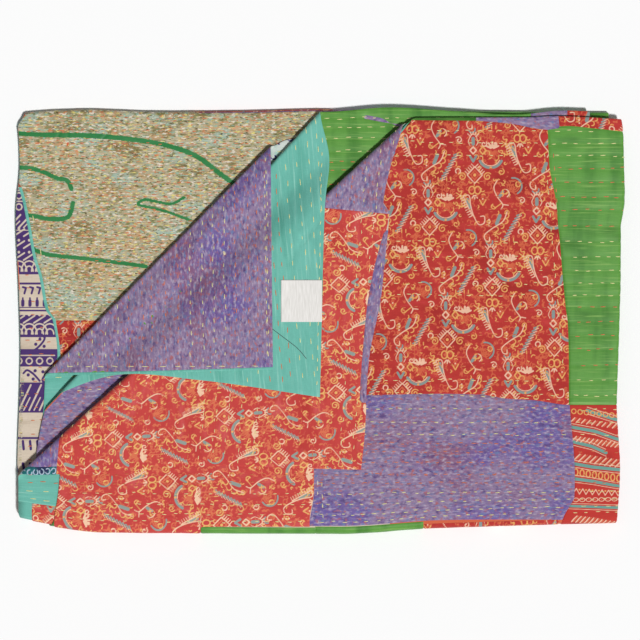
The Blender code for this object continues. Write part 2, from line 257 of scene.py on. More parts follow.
def roll_length(layer):
    """Cloth that goes round the roll of a turned-back corner."""
    levels = 3 if layer == 7 else 1
    return np.pi * (TURN_LINES[layer]["roll"] * MM + levels * PITCH / 2) / 2


def unfolded(layer, x, y):
    """Where a point that now lies in a turned-back corner was before it was turned."""
    away = turn_frame(layer)[1]
    shift = roll_length(layer) - 2 * past_line(layer, x, y)
    return x + away[0] * shift, y + away[1] * shift


def as_seen(layer, x, y):
    """Where a point of a layer is seen from above: moved over where its corner is turned back."""
    if layer not in TURN_LINES:
        return x, y
    away = turn_frame(layer)[1]
    past = past_line(layer, x, y)
    shift = np.where(past > 0, roll_length(layer) - 2 * past, 0)
    return x + away[0] * shift, y + away[1] * shift


# %% Heights of the layers
def lies_in_outline(layer, x, y, flap):
    """1 over the layer's own outline and less past its edges, with its corner not yet turned back."""
    run = RUNS[run_of(layer)]
    cover = ramp(x - smooth_curve(LEFT_EDGES[layer], y), EDGE_SLOPE)
    if layer in OPEN_EDGES:
        cover = cover * ramp(smooth_curve(OPEN_EDGES[layer], x) - y, EDGE_SLOPE)
    if flap:
        return cover
    cover = cover * ramp(right_fold(along_cloth(layer, y)) - x, RIGHT_SLOPE)
    return cover * ramp(y - min(run["start"], run["end"]), EDGE_SLOPE)


def cover_of(level, x, y):
    """How much of a layer's thickness the layers above it have to climb at each point."""
    layer = FLAPS.get(level, level)
    if level in FLAPS:
        cover = lies_in_outline(layer, *unfolded(layer, x, y), True)
    else:
        cover = lies_in_outline(layer, x, y, False)
    if layer in TURN_LINES:
        cover = cover * ramp(-past_line(layer, x, y), TURN_LINES[layer]["slope"] * MM)
    return cover


def roll_rise(behind):
    """The share of its full height that a roll has at a distance behind its edge, or before it."""
    sinks = np.maximum(behind / ROLL_FALL, 0)
    climbs = np.minimum(behind / ROLL_CLIMB, 0)
    return (1 + sinks) * np.exp(-sinks - climbs**2)


def air_below(level, x, y):
    """Air between a level and the one below it: loose cloth, the corners' rolls, which stand highest
    at their edge and sink slowly behind it, and flaps that bridge a roll that they lie on."""
    air = np.zeros_like(x)
    for lifted, height, wave_x, wave_y, shift in LOOSE_AIR:
        if lifted == level:
            wave = np.sin(2 * np.pi * x / wave_x + shift) * np.cos(2 * np.pi * y / wave_y - shift)
            air = air + height * (1 + wave) / 2
    if level in FLAPS:
        layer = FLAPS[level]
        air = air + TURN_LINES[layer]["puff"] * MM * roll_rise(-past_line(layer, x, y))
    if level in BRIDGES:
        layer, reach = BRIDGES[level]
        behind = -past_line(layer, x, y)
        wide = np.exp(-((behind / (reach * MM)) ** 2))
        air = air + TURN_LINES[layer]["puff"] * MM * np.maximum(wide - roll_rise(behind), 0)
    return air


def heights(x, y):
    """The height of the middle of every level at each point, as rows 1 to 12 of one array."""
    z = [np.zeros_like(x), np.full_like(x, THICKNESS / 2)]
    for level in range(2, 13):
        z.append(z[-1] + PITCH * cover_of(level - 1, x, y) + air_below(level, x, y))
    return np.array(z)


# %% The fold itself
def mixed_height(z, run, to_a):
    """The height of a run's cloth, which passes from half b to half a round the right fold."""
    return z[run["b"]] * (1 - to_a) + z[run["a"]] * to_a


def fold_waves(x, y):
    """How far the outer and the top fold stand out, fading away from each fold."""
    outer = smooth_curve(OUTER_WAVES, x) * ramp(OUTER_FOLD - y, 60 * MM)
    top = smooth_curve(TOP_WAVES, x) * ramp(y - TOP_FOLD, 60 * MM)
    return -outer + top


def turn_back(layer, line, on, past, x, y, z):
    """Turns the corner of a layer back along its line, round a roll and onto the flap's level."""
    away = turn_frame(layer)[1]
    flap = next(level for level, owner in FLAPS.items() if owner == layer)
    arc = roll_length(layer)
    on_x, on_y, d = x[on], y[on], past[on]
    foot_x, foot_y = on_x - away[0] * d, on_y - away[1] * d
    angle = np.pi * (np.minimum(d / arc, 1) - 0.5)
    reach = np.where(d < arc, line["roll"] * MM * np.cos(angle), arc - d)
    new_x, new_y = foot_x + away[0] * reach, foot_y + away[1] * reach
    at_line = heights(foot_x, foot_y)
    low, high = at_line[layer], at_line[flap]
    rolled = (low + high) / 2 + (high - low) / 2 * np.sin(angle)
    z[on] = np.where(d < arc, rolled, heights(new_x, new_y)[flap])
    x[on], y[on] = new_x, new_y


def fold(u, v):
    """Carries points of the flat sheet to the folded quilt."""
    turn = np.clip(u / (PITCH / 2), -np.pi / 2, np.pi / 2)
    to_a = (1 + np.sin(turn)) / 2
    from_fold = np.maximum(np.abs(u) - HALF_BEND, 0)
    x = right_fold(v) - from_fold + PITCH / 2 * np.cos(turn)
    y, z = np.zeros_like(x), np.zeros_like(x)
    for i, run in enumerate(RUNS):
        first = -np.inf if i == 0 else RUN_STARTS[i]
        last = np.inf if i == 3 else RUN_STARTS[i] + RUN_LENGTHS[i]
        on = (v >= first) & (v <= last)
        y[on] = run["start"] + run["heading"] * (v[on] - RUN_STARTS[i])
        if i in (1, 2, 3):
            y[on] += fold_waves(x[on], y[on]) * (1 if i != 1 else y[on] > 0)
        if i == 3:
            x[on] += smooth_curve(RIGHT_WAVES, y[on]) * ramp(-from_fold[on], 160 * MM)
        z[on] = mixed_height(heights(x[on], y[on]), run, to_a[on])
    for i, bend in enumerate(BENDS):
        start = RUN_STARTS[i] + RUN_LENGTHS[i]
        on = (v > start) & (v < start + BEND_LENGTHS[i])
        angle = np.pi * ((v[on] - start) / BEND_LENGTHS[i] - 0.5)
        middle = np.full(angle.shape, bend["along"])
        if i > 0:
            middle += fold_waves(x[on], middle)
        z_all = heights(x[on], middle)
        before = mixed_height(z_all, RUNS[i], to_a[on])
        after = mixed_height(z_all, RUNS[i + 1], to_a[on])
        reach = bend["b"] * (1 - to_a[on]) + bend["a"] * to_a[on]
        y[on] = middle + bend["side"] * reach * np.cos(angle)
        z[on] = (before + after) / 2 + (after - before) / 2 * np.sin(angle)
    for layer, line in TURN_LINES.items():
        i = run_of(layer)
        in_run = (v <= RUN_LENGTHS[0]) if i == 0 else (v >= RUN_STARTS[3])
        in_half = (u > 0) if is_half_a(layer) else (u < 0)
        past = past_line(layer, x, y)
        turn_back(layer, line, in_run & in_half & (past > 0), past, x, y, z)
    return np.stack((x, y, z), axis=-1)


# %% [markdown]
# Kantha stitching draws the cloth down along each row and lets it puff between the rows. The rows
# run along the length of the folded pile, about 16 mm apart, and cross every piece of patchwork.
# The relief below is added to every visible piece, so seams and rows line up.

# %% Rows of running stitch
#          rows of the run that ends on top, in millimetres along Y, by the thread's colour
TOP_RUN_ROWS = {
    "yellow": (239, 223, 207, 99, 80, 63, 47, 32, -75, -94, -111, -128, -143, -217, -230, -242, -251),
    "orange": (191, 174, 155, 139, 119, 17, -2, -18, -36, -56, -154, -165, -178, -193, -204),
}
#          rows of the run that ends in the two upper corners
CORNER_RUN_ROWS = {
    "yellow": (255, 243, 229, 213, 159, 145, 131, 116, 24, 8, -8, -26, -38, -55, -71, -87),
    "orange": (200, 189, 173, 100, 84, 67, 55, 38, -104, -120, -136, -153, -169, -185, -202, -218),
}
EVEN_ROW_PITCH = 16.6


def even_rows(run):
    low, high = sorted((run["start"] / MM, run["end"] / MM))
    return {"orange": np.arange(low + 8, high, EVEN_ROW_PITCH)}


ROWS = (CORNER_RUN_ROWS, even_rows(RUNS[1]), even_rows(RUNS[2]), TOP_RUN_ROWS)
#          all rows as places along the cloth
ROW_PLACES = np.sort(np.concatenate([
    along_cloth(RUNS[i]["a"], np.array(sorted(sum((list(r) for r in rows.values()), []))) * MM)
    for i, rows in enumerate(ROWS)
]))
PUFF = 0.34 * MM
PUFF_WIDTH = 3.4 * MM
CRINKLE = 0.14 * MM
crinkle_seeds = np.random.default_rng(7)
CRINKLES = [
    {
        "across": crinkle_seeds.uniform(-160, 160),
        "along": crinkle_seeds.uniform(-260, 260),
        "shift": crinkle_seeds.uniform(0, 6.28),
    }
    for _ in range(12)
]

# %% [markdown]
# Where the pile was pressed, the cloth has sharp creases. Each is a line between two points, given
# in millimetres as it is seen from above, with a depth and a width. It is carried to the flat sheet,
# so it runs on over every seam that it meets.

# %% Creases
CREASES = (
    {"layer": 4, "turned": False, "from": (-318, 255), "to": (-317, 207), "deep": 0.7, "wide": 1.5},
    {"layer": 4, "turned": False, "from": (-326, 239), "to": (-345, 201), "deep": 0.6, "wide": 1.6},
    {"layer": 4, "turned": False, "from": (-318, 222), "to": (-333, 200), "deep": 0.5, "wide": 1.6},
    {"layer": 4, "turned": False, "from": (-255, 246), "to": (-276, 226), "deep": 0.6, "wide": 1.6},
    {"layer": 4, "turned": False, "from": (-262, 160), "to": (-269, 140), "deep": 0.6, "wide": 1.8},
    {"layer": 6, "turned": True, "from": (-4, 120), "to": (-20, 102), "deep": 0.9, "wide": 3.5},
    {"layer": 6, "turned": True, "from": (-20, 102), "to": (-40, 72), "deep": 0.9, "wide": 4.5},
    {"layer": 6, "turned": False, "from": (58, 256), "to": (104, 245), "deep": 0.9, "wide": 4.0},
    {"layer": 8, "turned": False, "from": (-3, -196), "to": (-2, -254), "deep": 0.7, "wide": 2.6},
    {"layer": 8, "turned": False, "from": (7, -204), "to": (5, -256), "deep": 0.6, "wide": 2.6},
    {"layer": 8, "turned": False, "from": (-328, -246), "to": (-182, -244), "deep": 0.7, "wide": 2.4},
)


def on_sheet(mark):
    """The two ends, on the flat sheet, of a crease or a hem that is given as it is seen from above."""
    x, y = (np.array(end) * MM for end in zip(mark["from"], mark["to"]))
    if mark["turned"]:
        x, y = unfolded(mark["layer"], x, y)
    return np.stack(to_flat(mark["layer"], x, y), axis=1)


def distance_to(u, v, start, end):
    run_u, run_v = end - start
    along = np.clip(((u - start[0]) * run_u + (v - start[1]) * run_v) / (run_u**2 + run_v**2), 0, 1)
    return np.hypot(u - start[0] - along * run_u, v - start[1] - along * run_v)


FLAT_CREASES = [(*on_sheet(crease), crease["deep"] * MM, crease["wide"] * MM) for crease in CREASES]


def relief(u, v):
    """How far the patchwork stands up between the rows, with crinkles of washed cloth and creases."""
    k = np.clip(np.searchsorted(ROW_PLACES, v), 1, len(ROW_PLACES) - 1)
    to_row = np.minimum(np.abs(v - ROW_PLACES[k - 1]), np.abs(v - ROW_PLACES[k]))
    puffed = 1 - np.exp(-((to_row / PUFF_WIDTH) ** 2))
    waves = sum(np.sin(w["across"] * u + w["along"] * v + w["shift"]) for w in CRINKLES) / 3.5
    height = PUFF * puffed + CRINKLE * np.clip(waves, -1, 1) * (0.4 + 0.6 * puffed)
    for start, end, deep, wide in FLAT_CREASES:
        height = height - deep * np.exp(-((distance_to(u, v, start, end) / wide) ** 2))
    return height


print("rows of stitch", len(ROW_PLACES))

# %% [markdown]
# Sewn cloth has no single colour. Each material mixes a ground that is mottled like worn, washed
# silk with up to four printed inks. The inks come in as an attribute called dye: it holds how deep
# a point is inside each printed shape, and the shader turns that into a sharp edge, which stays
# sharp on a mesh far coarser than the print.


# %% Cloth material
def link(tree, source, target):
    tree.links.new(source, target)


def mix_colours(tree, factor, first, second, blend="MIX"):
    """Mixes two colours, each a colour or a socket, by a factor that is a number or a socket."""
    node = tree.nodes.new("ShaderNodeMix")
    node.data_type = "RGBA"
    node.blend_type = blend
    for socket, value in ((node.inputs[0], factor), (node.inputs[6], first), (node.inputs[7], second)):
        if isinstance(value, bpy.types.NodeSocket):
            link(tree, value, socket)
        else:
            socket.default_value = value
    return node.outputs[2]


def band(tree, value, low, high):
    node = tree.nodes.new("ShaderNodeMapRange")
    node.interpolation_type = "SMOOTHSTEP"
    link(tree, value, node.inputs["Value"])
    node.inputs["From Min"].default_value = low
    node.inputs["From Max"].default_value = high
    return node.outputs["Result"]


def noise(tree, uv, scale_u, scale_v, detail=2.0, rough=0.5, shift=0.0):
    mapping = tree.nodes.new("ShaderNodeMapping")
    mapping.inputs["Scale"].default_value = (scale_u, scale_v, 1)
    mapping.inputs["Location"].default_value = (shift, shift * 0.7, 0)
    link(tree, uv, mapping.inputs["Vector"])
    texture = tree.nodes.new("ShaderNodeTexNoise")
    texture.inputs["Scale"].default_value = 1
    texture.inputs["Detail"].default_value = detail
    texture.inputs["Roughness"].default_value = rough
    link(tree, mapping.outputs["Vector"], texture.inputs["Vector"])
    return texture.outputs["Fac"]


def shaken(tree, channel, uv, amount):
    """A dye channel with its edges made uneven, as a woven figure's are."""
    spots = noise(tree, uv, 260, 700, 2.0, 0.6, 9.0)
    centred = tree.nodes.new("ShaderNodeMath")
    centred.operation = "MULTIPLY_ADD"
    link(tree, spots, centred.inputs[0])
    centred.inputs[1].default_value = amount
    centred.inputs[2].default_value = -amount / 2
    total = tree.nodes.new("ShaderNodeMath")
    link(tree, channel, total.inputs[0])
    link(tree, centred.outputs[0], total.inputs[1])
    return total.outputs[0]


def grey(value):
    return (value, value, value, 1)


def cloth_material(
    name, ground, shades=(), inks=(), rough=0.75, sheen=0.15, streak=0.12, bump=0.12, ragged=0.0
):
    """Ground is a colour. Shades are rows (colour, scale across, scale along, from, to) of mottling,
    and inks the colours of the dye channels, of which the first lies on top."""
    material = bpy.data.materials.new(name)
    material.use_nodes = True
    tree = material.node_tree
    shader = tree.nodes["Principled BSDF"]
    uv = tree.nodes.new("ShaderNodeUVMap").outputs["UV"]
    colour = ground
    for number, (shade, scale_u, scale_v, low, high) in enumerate(shades):
        spots = noise(tree, uv, scale_u, scale_v, 3.0, 0.55, 3.1 * number + 1.7)
        colour = mix_colours(tree, band(tree, spots, low, high), colour, shade)
    if inks:
        dye = tree.nodes.new("ShaderNodeAttribute")
        dye.attribute_name = "dye"
        parts = tree.nodes.new("ShaderNodeSeparateColor")
        link(tree, dye.outputs["Color"], parts.inputs["Color"])
        channels = [*parts.outputs, dye.outputs["Alpha"]]
        for ink, channel in reversed(list(zip(inks, channels))):
            if ragged:
                channel = shaken(tree, channel, uv, ragged)
            colour = mix_colours(tree, band(tree, channel, 0.40, 0.60), colour, ink)
    yarn = noise(tree, uv, 90, 1500, 2.0, 0.6)
    warp = noise(tree, uv, 1500, 120, 2.0, 0.6, 5.0)
    dark = mix_colours(tree, band(tree, yarn, 0.35, 0.7), grey(1 - streak), grey(1))
    colour = mix_colours(tree, 1.0, colour, dark, "MULTIPLY")
    pale = mix_colours(tree, band(tree, warp, 0.4, 0.7), grey(1 - streak / 2), grey(1))
    colour = mix_colours(tree, 1.0, colour, pale, "MULTIPLY")
    link(tree, colour, shader.inputs["Base Color"])
    shader.inputs["Roughness"].default_value = rough
    shader.inputs["Sheen Weight"].default_value = sheen
    shader.inputs["Sheen Roughness"].default_value = 0.5
    shader.inputs["Specular IOR Level"].default_value = 0.25
    weave = tree.nodes.new("ShaderNodeMath")
    weave.operation = "ADD"
    link(tree, yarn, weave.inputs[0])
    link(tree, warp, weave.inputs[1])
    relief_node = tree.nodes.new("ShaderNodeBump")
    relief_node.inputs["Strength"].default_value = bump
    relief_node.inputs["Distance"].default_value = 0.4 * MM
    link(tree, weave.outputs[0], relief_node.inputs["Height"])
    link(tree, relief_node.outputs["Normal"], shader.inputs["Normal"])
    return material


CREAM = tint(242, 194, 164)
GOLD = tint(234, 170, 98)
GREY_TEAL = tint(138, 152, 148)
ORANGE = tint(214, 100, 66)
cloths = {
    "red": cloth_material(
        "red_print", tint(188, 50, 44),
        (
            (tint(160, 32, 28), 12, 16, 0.45, 0.75),
            (tint(206, 62, 62), 30, 60, 0.5, 0.8),
            (tint(216, 104, 70), 150, 150, 0.56, 0.66),
        ),
        (CREAM, GOLD, GREY_TEAL, ORANGE),
    ),
    # A copy of the red print with a slightly pinker ground, which is that cloth's own, and painted lighter
    # all over, inks too: painted light for the pieces on the brighter left of the pile.
    "pale_red": cloth_material(
        "lit_pink_red_print", tint(204, 66, 62),
        (
            (tint(186, 50, 44), 10, 14, 0.5, 0.8),
            (tint(216, 92, 92), 24, 50, 0.5, 0.8),
            (tint(228, 122, 88), 150, 150, 0.56, 0.66),
        ),
        (tint(250, 206, 172), tint(242, 184, 110), tint(150, 162, 154), tint(226, 118, 82)),
    ),
    "green": cloth_material(
        "green_silk", tint(94, 156, 62),
        (
            (tint(68, 130, 44), 40, 5, 0.42, 0.7),
            (tint(60, 118, 36), 9, 20, 0.55, 0.8),
            (tint(132, 178, 88), 16, 420, 0.52, 0.72),
        ),
        rough=0.5,
    ),
    "teal": cloth_material(
        "teal_cotton", tint(112, 190, 174),
        (
            (tint(88, 170, 152), 7, 40, 0.45, 0.75),
            (tint(146, 210, 194), 12, 300, 0.52, 0.75),
            (tint(70, 150, 134), 5, 8, 0.6, 0.85),
        ),
    ),
    "purple": cloth_material(
        "purple_silk", tint(152, 128, 164),
        (
            (tint(114, 94, 166), 9, 11, 0.45, 0.65),
            (tint(146, 98, 128), 8, 14, 0.52, 0.7),
            (tint(92, 70, 128), 110, 160, 0.44, 0.75),
            (tint(188, 174, 196), 140, 300, 0.45, 0.75),
            (tint(180, 104, 112), 160, 200, 0.54, 0.7),
            (tint(112, 130, 178), 120, 300, 0.54, 0.7),
        ),
        streak=0.2,
    ),
    "brocade": cloth_material(
        "woven_brocade", tint(194, 184, 150),
        (
            (tint(146, 122, 74), 16, 24, 0.5, 0.64),
            (tint(206, 170, 124), 20, 30, 0.5, 0.64),
            (tint(176, 196, 178), 18, 26, 0.52, 0.64),
            (tint(136, 136, 86), 90, 260, 0.5, 0.62),
            (tint(222, 142, 96), 120, 380, 0.56, 0.64),
            (tint(160, 192, 168), 130, 360, 0.55, 0.64),
            (tint(238, 222, 132), 150, 420, 0.57, 0.64),
            (tint(240, 228, 208), 140, 400, 0.55, 0.64),
            (tint(100, 84, 52), 160, 420, 0.58, 0.66),
        ),
        (tint(44, 134, 70),), rough=0.5, streak=0.22, ragged=1.0,
    ),
    "cream": cloth_material(
        "cream_print", tint(218, 202, 182), ((tint(196, 178, 156), 16, 60, 0.45, 0.8),),
        (tint(74, 46, 110),),
    ),
    "border": cloth_material(
        "border_print", tint(196, 52, 44), ((tint(170, 40, 38), 20, 20, 0.5, 0.8),),
        (CREAM, GOLD, tint(112, 162, 152), ORANGE),
    ),
    "floral": cloth_material(
        "floral_print", tint(214, 220, 214), ((tint(150, 206, 192), 30, 30, 0.5, 0.7),),
        (tint(52, 48, 116), tint(96, 70, 150)),
    ),
    "navy": cloth_material(
        "navy_print", tint(30, 44, 84), ((tint(24, 112, 116), 40, 60, 0.46, 0.6),),
        (tint(176, 196, 214), tint(60, 150, 150)),
    ),
}
print("cloth materials", len(cloths))

# %% [markdown]
# The base sheet is the whole quilt: 1.46 m by 2.07 m of cloth with its lining. A flat net is cut
# where the cloth will bend, drawn to the outlines of the layers, folded, and given its thickness.


# %% Base sheet
BASE_THICKNESS = 0.6 * MM
BASE_CELL = 10 * MM
BASE_WIDTH = 1.45
BEND_STEPS = 8


def half_width(v, half_a):
    """The width of each half of the sheet, from the right fold to its left edge."""
    width = np.zeros_like(v)
    for half, chosen in (("a", half_a), ("b", ~half_a)):
        places, edges = [], []
        for i, run in enumerate(RUNS):
            rows = np.linspace(run["start"], run["end"], 60)
            places.extend(RUN_STARTS[i] + np.abs(rows - run["start"]))
            edges.extend(smooth_curve(LEFT_EDGES[run[half]], rows))
        width[chosen] = right_fold(v[chosen]) - np.interp(v[chosen], places, edges) + HALF_BEND
    return width


def flat_net(cell):
    """The flat sheet as a net of squares, its edges drawn to the outlines of the layers."""
    across, down = round(BASE_WIDTH / cell / 2) * 2, round(SHEET_LENGTH / cell)
    net = bmesh.new()
    bmesh.ops.create_grid(net, x_segments=across, y_segments=down, size=1)
    spots = np.array([vert.co[:2] for vert in net.verts])
    share, v = spots[:, 0], (spots[:, 1] + 1) / 2 * SHEET_LENGTH
    half_a = share > 0
    x = right_fold(v) - np.maximum(np.abs(share * half_width(v, half_a)) - HALF_BEND, 0)
    quarter = SHEET_LENGTH / 4
    for i, (upper, lower) in ((0, (5, 6)), (3, (8, 7))):
        edge = np.where(half_a, smooth_curve(OPEN_EDGES[upper], x), smooth_curve(OPEN_EDGES[lower], x))
        short = edge - OPEN_END
        near = np.clip(1 - (v if i == 0 else SHEET_LENGTH - v) / quarter, 0, 1)
        v = v - short * near if i == 0 else v + short * near
    u = share * half_width(v, half_a)
    for vert, place in zip(net.verts, zip(u, v)):
        vert.co = (*place, 0)
    return net


def cut_along(net, a, b, chosen=None):
    """Cuts the flat net's chosen faces along the line from a to b."""
    direction = Vector((b[0] - a[0], b[1] - a[1], 0)).normalized()
    faces = net.faces if chosen is None else [f for f in net.faces if chosen(f.calc_center_median())]
    edges = {edge for face in faces for edge in face.edges}
    verts = {vert for face in faces for vert in face.verts}
    bmesh.ops.bisect_plane(
        net, geom=[*verts, *edges, *faces], dist=0.05 * MM,
        plane_co=(a[0], a[1], 0), plane_no=(direction.y, -direction.x, 0),
    )


def cut_corner(net, layer, offset):
    """Cuts a layer's corner along the line that it is turned back along, or beside it."""
    limit = SHEET_LENGTH / 4
    first_run = run_of(layer) == 0
    sign = 1 if is_half_a(layer) else -1
    start, away = turn_frame(layer)
    along = np.array((-away[1], away[0]))
    ends = [to_flat(layer, *(start + along * reach + away * offset)) for reach in (0, 0.1)]
    inside = 30 * MM

    def chosen(spot):
        in_run = spot.y < limit if first_run else spot.y > SHEET_LENGTH - limit
        x = right_fold(spot.y) - spot.x * sign + HALF_BEND
        i = run_of(layer)
        y = RUNS[i]["start"] + (spot.y - RUN_STARTS[i]) * RUNS[i]["heading"]
        return spot.x * sign > 0 and in_run and abs(past_line(layer, x, y) - offset) < inside

    cut_along(net, *ends, chosen)


net = flat_net(BASE_CELL)
for step in range(-BEND_STEPS // 2, BEND_STEPS // 2 + 1):
    place = HALF_BEND * step / (BEND_STEPS / 2)
    cut_along(net, (place, 0), (place, 1))
for i in range(3):
    for step in range(BEND_STEPS + 1):
        place = RUN_STARTS[i] + RUN_LENGTHS[i] + BEND_LENGTHS[i] * step / BEND_STEPS
        cut_along(net, (0, place), (1, place))
for layer in TURN_LINES:
    for step in range(BEND_STEPS + 1):
        cut_corner(net, layer, roll_length(layer) * step / BEND_STEPS)
bmesh.ops.triangulate(net, faces=net.faces[:], quad_method="BEAUTY", ngon_method="BEAUTY")
flat_spots = np.array([vert.co[:2] for vert in net.verts])
for vert, place in zip(net.verts, fold(flat_spots[:, 0], flat_spots[:, 1])):
    vert.co = place
base_mesh = bpy.data.meshes.new("quilt_cloth")
net.to_mesh(base_mesh)
net.free()
quilt = bpy.data.objects.new("quilt_cloth", base_mesh)
bpy.context.scene.collection.objects.link(quilt)
flat_map = base_mesh.uv_layers.new(name="flat")
corner_verts = np.zeros(len(base_mesh.loops), int)
base_mesh.loops.foreach_get("vertex_index", corner_verts)
flat_map.data.foreach_set("uv", flat_spots[corner_verts].ravel())
print("base sheet faces", len(base_mesh.polygons))

# %% [markdown]
# Solidify turns the net into cloth with two sides. The patchwork side and the lining side take
# different materials, so Solidify shifts the material number of the second side.

# %% Thickness and the two sides of the base
FRONT_CLOTHS = ("red", "purple", "green", "cream")
for side in (FRONT_CLOTHS, ("teal",) * len(FRONT_CLOTHS)):
    for name in side:
        base_mesh.materials.append(cloths[name])
base_mesh.flip_normals()
face_flat = np.array([flat_spots[list(face.vertices)].mean(axis=0) for face in base_mesh.polygons])
PANEL = (0.29, 0.34)
column = np.floor(face_flat[:, 0] / PANEL[0]).astype(int)
row = np.floor(face_flat[:, 1] / PANEL[1]).astype(int)
base_mesh.polygons.foreach_set("material_index", (column * 3 + row * 5) % len(FRONT_CLOTHS))
thicken = quilt.modifiers.new("thickness", "SOLIDIFY")
thicken.thickness = BASE_THICKNESS
thicken.offset = 0
thicken.material_offset = len(FRONT_CLOTHS)
deselect_all()
bpy.context.view_layer.objects.active = quilt
quilt.select_set(True)
bpy.ops.object.modifier_apply(modifier="thickness")
base_mesh = quilt.data
base_mesh.shade_smooth()
print("base sheet faces with thickness", len(base_mesh.polygons))

# %% [markdown]
# A piece of patchwork is a net between four edges: left and right as curves along Y, low and high
# as curves along X, all on the layer's own plane before its corner is turned back. fold() carries
# it with the cloth below, it stands a little above the base, and its edges are tucked down.


# %% Nets for the pieces
def curve(*rows):
    return lambda at: smooth_curve(rows, at)


def level(place):
    return lambda at: np.full_like(at, place * MM)


def left_edge(layer):
    return lambda y: smooth_curve(LEFT_EDGES[layer], y)


def open_edge(layer):
    return lambda x: smooth_curve(OPEN_EDGES[layer], x)


def round_right_fold(layer, reach=14):
    return lambda y: right_fold(along_cloth(layer, y)) + HALF_BEND + reach * MM


def turn_line(layer, margin):
    """The line that a corner is turned back along, as a curve along X, moved down by margin."""
    start, away = turn_frame(layer)
    return lambda x: start[1] - (x - start[0]) * away[0] / away[1] - margin * MM


def lower_of(first, second):
    return lambda at: np.minimum(first(at), second(at))


def higher_of(first, second):
    return lambda at: np.maximum(first(at), second(at))


PIECE_LIFT = 0.85 * MM
TUCKED_LIFT = 0.38 * MM
TUCK = 1.4 * MM


def between(piece, s, t):
    """The places of the shares s and t between a piece's four edges."""
    x, y = np.zeros_like(s), np.zeros_like(s)
    for _ in range(14):
        y = piece["low"](x) + t * (piece["high"](x) - piece["low"](x))
        x = piece["left"](y) + s * (piece["right"](y) - piece["left"](y))
    return x, y


def facing(piece):
    """1 where the net's own side is the one that shows, and -1 where it is the other one."""
    i = run_of(piece["layer"])
    side = (-1 if is_half_a(piece["layer"]) else 1) * RUNS[i]["heading"]
    return -side if piece["face"] == "front" else side


def net_counts(piece):
    shares = np.linspace(0, 1, 15)
    s, t = (grid.ravel() for grid in np.meshgrid(shares, shares))
    x, y = between(piece, s, t)
    x, y = x.reshape(15, 15), y.reshape(15, 15)
    wide = np.abs(np.diff(x, axis=1)).sum(axis=1).max()
    tall = np.abs(np.diff(y, axis=0)).sum(axis=0).max()
    cell = piece["cell"] * MM
    return max(4, round(wide / cell)), max(4, round(tall / cell))


def lay_piece(piece, design=None):
    """Makes a piece of patchwork and lays it on its layer of the folded cloth."""
    wide, tall = net_counts(piece)
    deselect_all()
    bpy.ops.mesh.primitive_grid_add(x_subdivisions=wide, y_subdivisions=tall, size=1)
    thing = bpy.context.object
    thing.name = thing.data.name = piece["name"]
    mesh = thing.data
    spots = np.zeros(len(mesh.vertices) * 3, np.float32)
    mesh.vertices.foreach_get("co", spots)
    share = spots.reshape(-1, 3).astype(float)[:, :2] + 0.5
    x, y = between(piece, share[:, 0], share[:, 1])
    u, v = to_flat(piece["layer"], x, y)
    place = fold(u, v).reshape(tall + 1, wide + 1, 3)
    normal = np.cross(np.gradient(place, axis=1), np.gradient(place, axis=0))
    normal /= np.maximum(np.linalg.norm(normal, axis=2, keepdims=True), 1e-12)
    normal *= facing(piece)
    span_x = np.abs(piece["right"](y) - piece["left"](y))
    span_y = np.abs(piece["high"](x) - piece["low"](x))
    to_edge = np.minimum(
        np.minimum(share[:, 0], 1 - share[:, 0]) * span_x, np.minimum(share[:, 1], 1 - share[:, 1]) * span_y
    )
    risen = 1 - ramp(-to_edge, TUCK)
    lift = TUCKED_LIFT + risen * (PIECE_LIFT - TUCKED_LIFT + relief(u, v))
    place = place + normal * lift.reshape(tall + 1, wide + 1, 1)
    mesh.vertices.foreach_set("co", place.astype(np.float32).ravel())
    if facing(piece) < 0:
        mesh.flip_normals()
    loops = np.zeros(len(mesh.loops), int)
    mesh.loops.foreach_get("vertex_index", loops)
    mesh.uv_layers[0].name = "flat"
    mesh.uv_layers[0].data.foreach_set("uv", np.stack((u, v), axis=-1)[loops].astype(np.float32).ravel())
    if design is not None:
        seen_x, seen_y = as_seen(piece["layer"], x, y)
        dye = mesh.attributes.new("dye", "FLOAT_COLOR", "POINT")
        dye.data.foreach_set("color", design(seen_x / MM, seen_y / MM).astype(np.float32).ravel())
    mesh.materials.append(cloths[piece["cloth"]])
    mesh.shade_smooth()
    mesh.update()
    print(piece["name"], "triangles", wide * tall * 2)
    return thing


# %% [markdown]
# The printed designs are drawn as strokes: a list of points and a width for each, in millimetres.
# The motifs are old common ones of block printing, set out in a repeat of about 97 mm.
# The dye value of a point is 0.5 on a stroke's edge and grows towards its middle.

# %% Strokes
SOFTNESS = 3.0


def empty_dye(x):
    return np.zeros((len(x), 4))


def draw(dye, x, y, points, width, ink, closed=False):
    """Draws a stroke of a width along the points into one ink's channel."""
    points = np.array(points, float)
    if closed:
        points = np.vstack((points, points[:1]))
    low, high = points.min(axis=0) - width - 2, points.max(axis=0) + width + 2
    near = np.flatnonzero((x > low[0]) & (x < high[0]) & (y > low[1]) & (y < high[1]))
    if len(near) == 0:
        return
    px, py = x[near], y[near]
    nearest = np.full(len(near), 99.0)
    if len(points) == 1:
        nearest = np.hypot(px - points[0, 0], py - points[0, 1])
    for (ax, ay), (bx, by) in zip(points[:-1], points[1:]):
        dx, dy = bx - ax, by - ay
        along = np.clip(((px - ax) * dx + (py - ay) * dy) / max(dx * dx + dy * dy, 1e-9), 0, 1)
        nearest = np.minimum(nearest, np.hypot(px - ax - along * dx, py - ay - along * dy))
    depth = np.clip(0.5 + (width / 2 - nearest) / SOFTNESS, 0, 1)
    dye[near, ink] = np.maximum(dye[near, ink], depth)


def arc(radius, first, last, steps=8, middle=(0, 0), squeeze=1.0, grow=0.0):
    """Points on an arc, or a spiral where the radius grows, from the first to the last degree."""
    angle = np.radians(np.linspace(first, last, steps + 1))
    size = radius + grow * np.linspace(0, 1, steps + 1)
    return [(middle[0] + r * np.cos(a), middle[1] + squeeze * r * np.sin(a)) for r, a in zip(size, angle)]


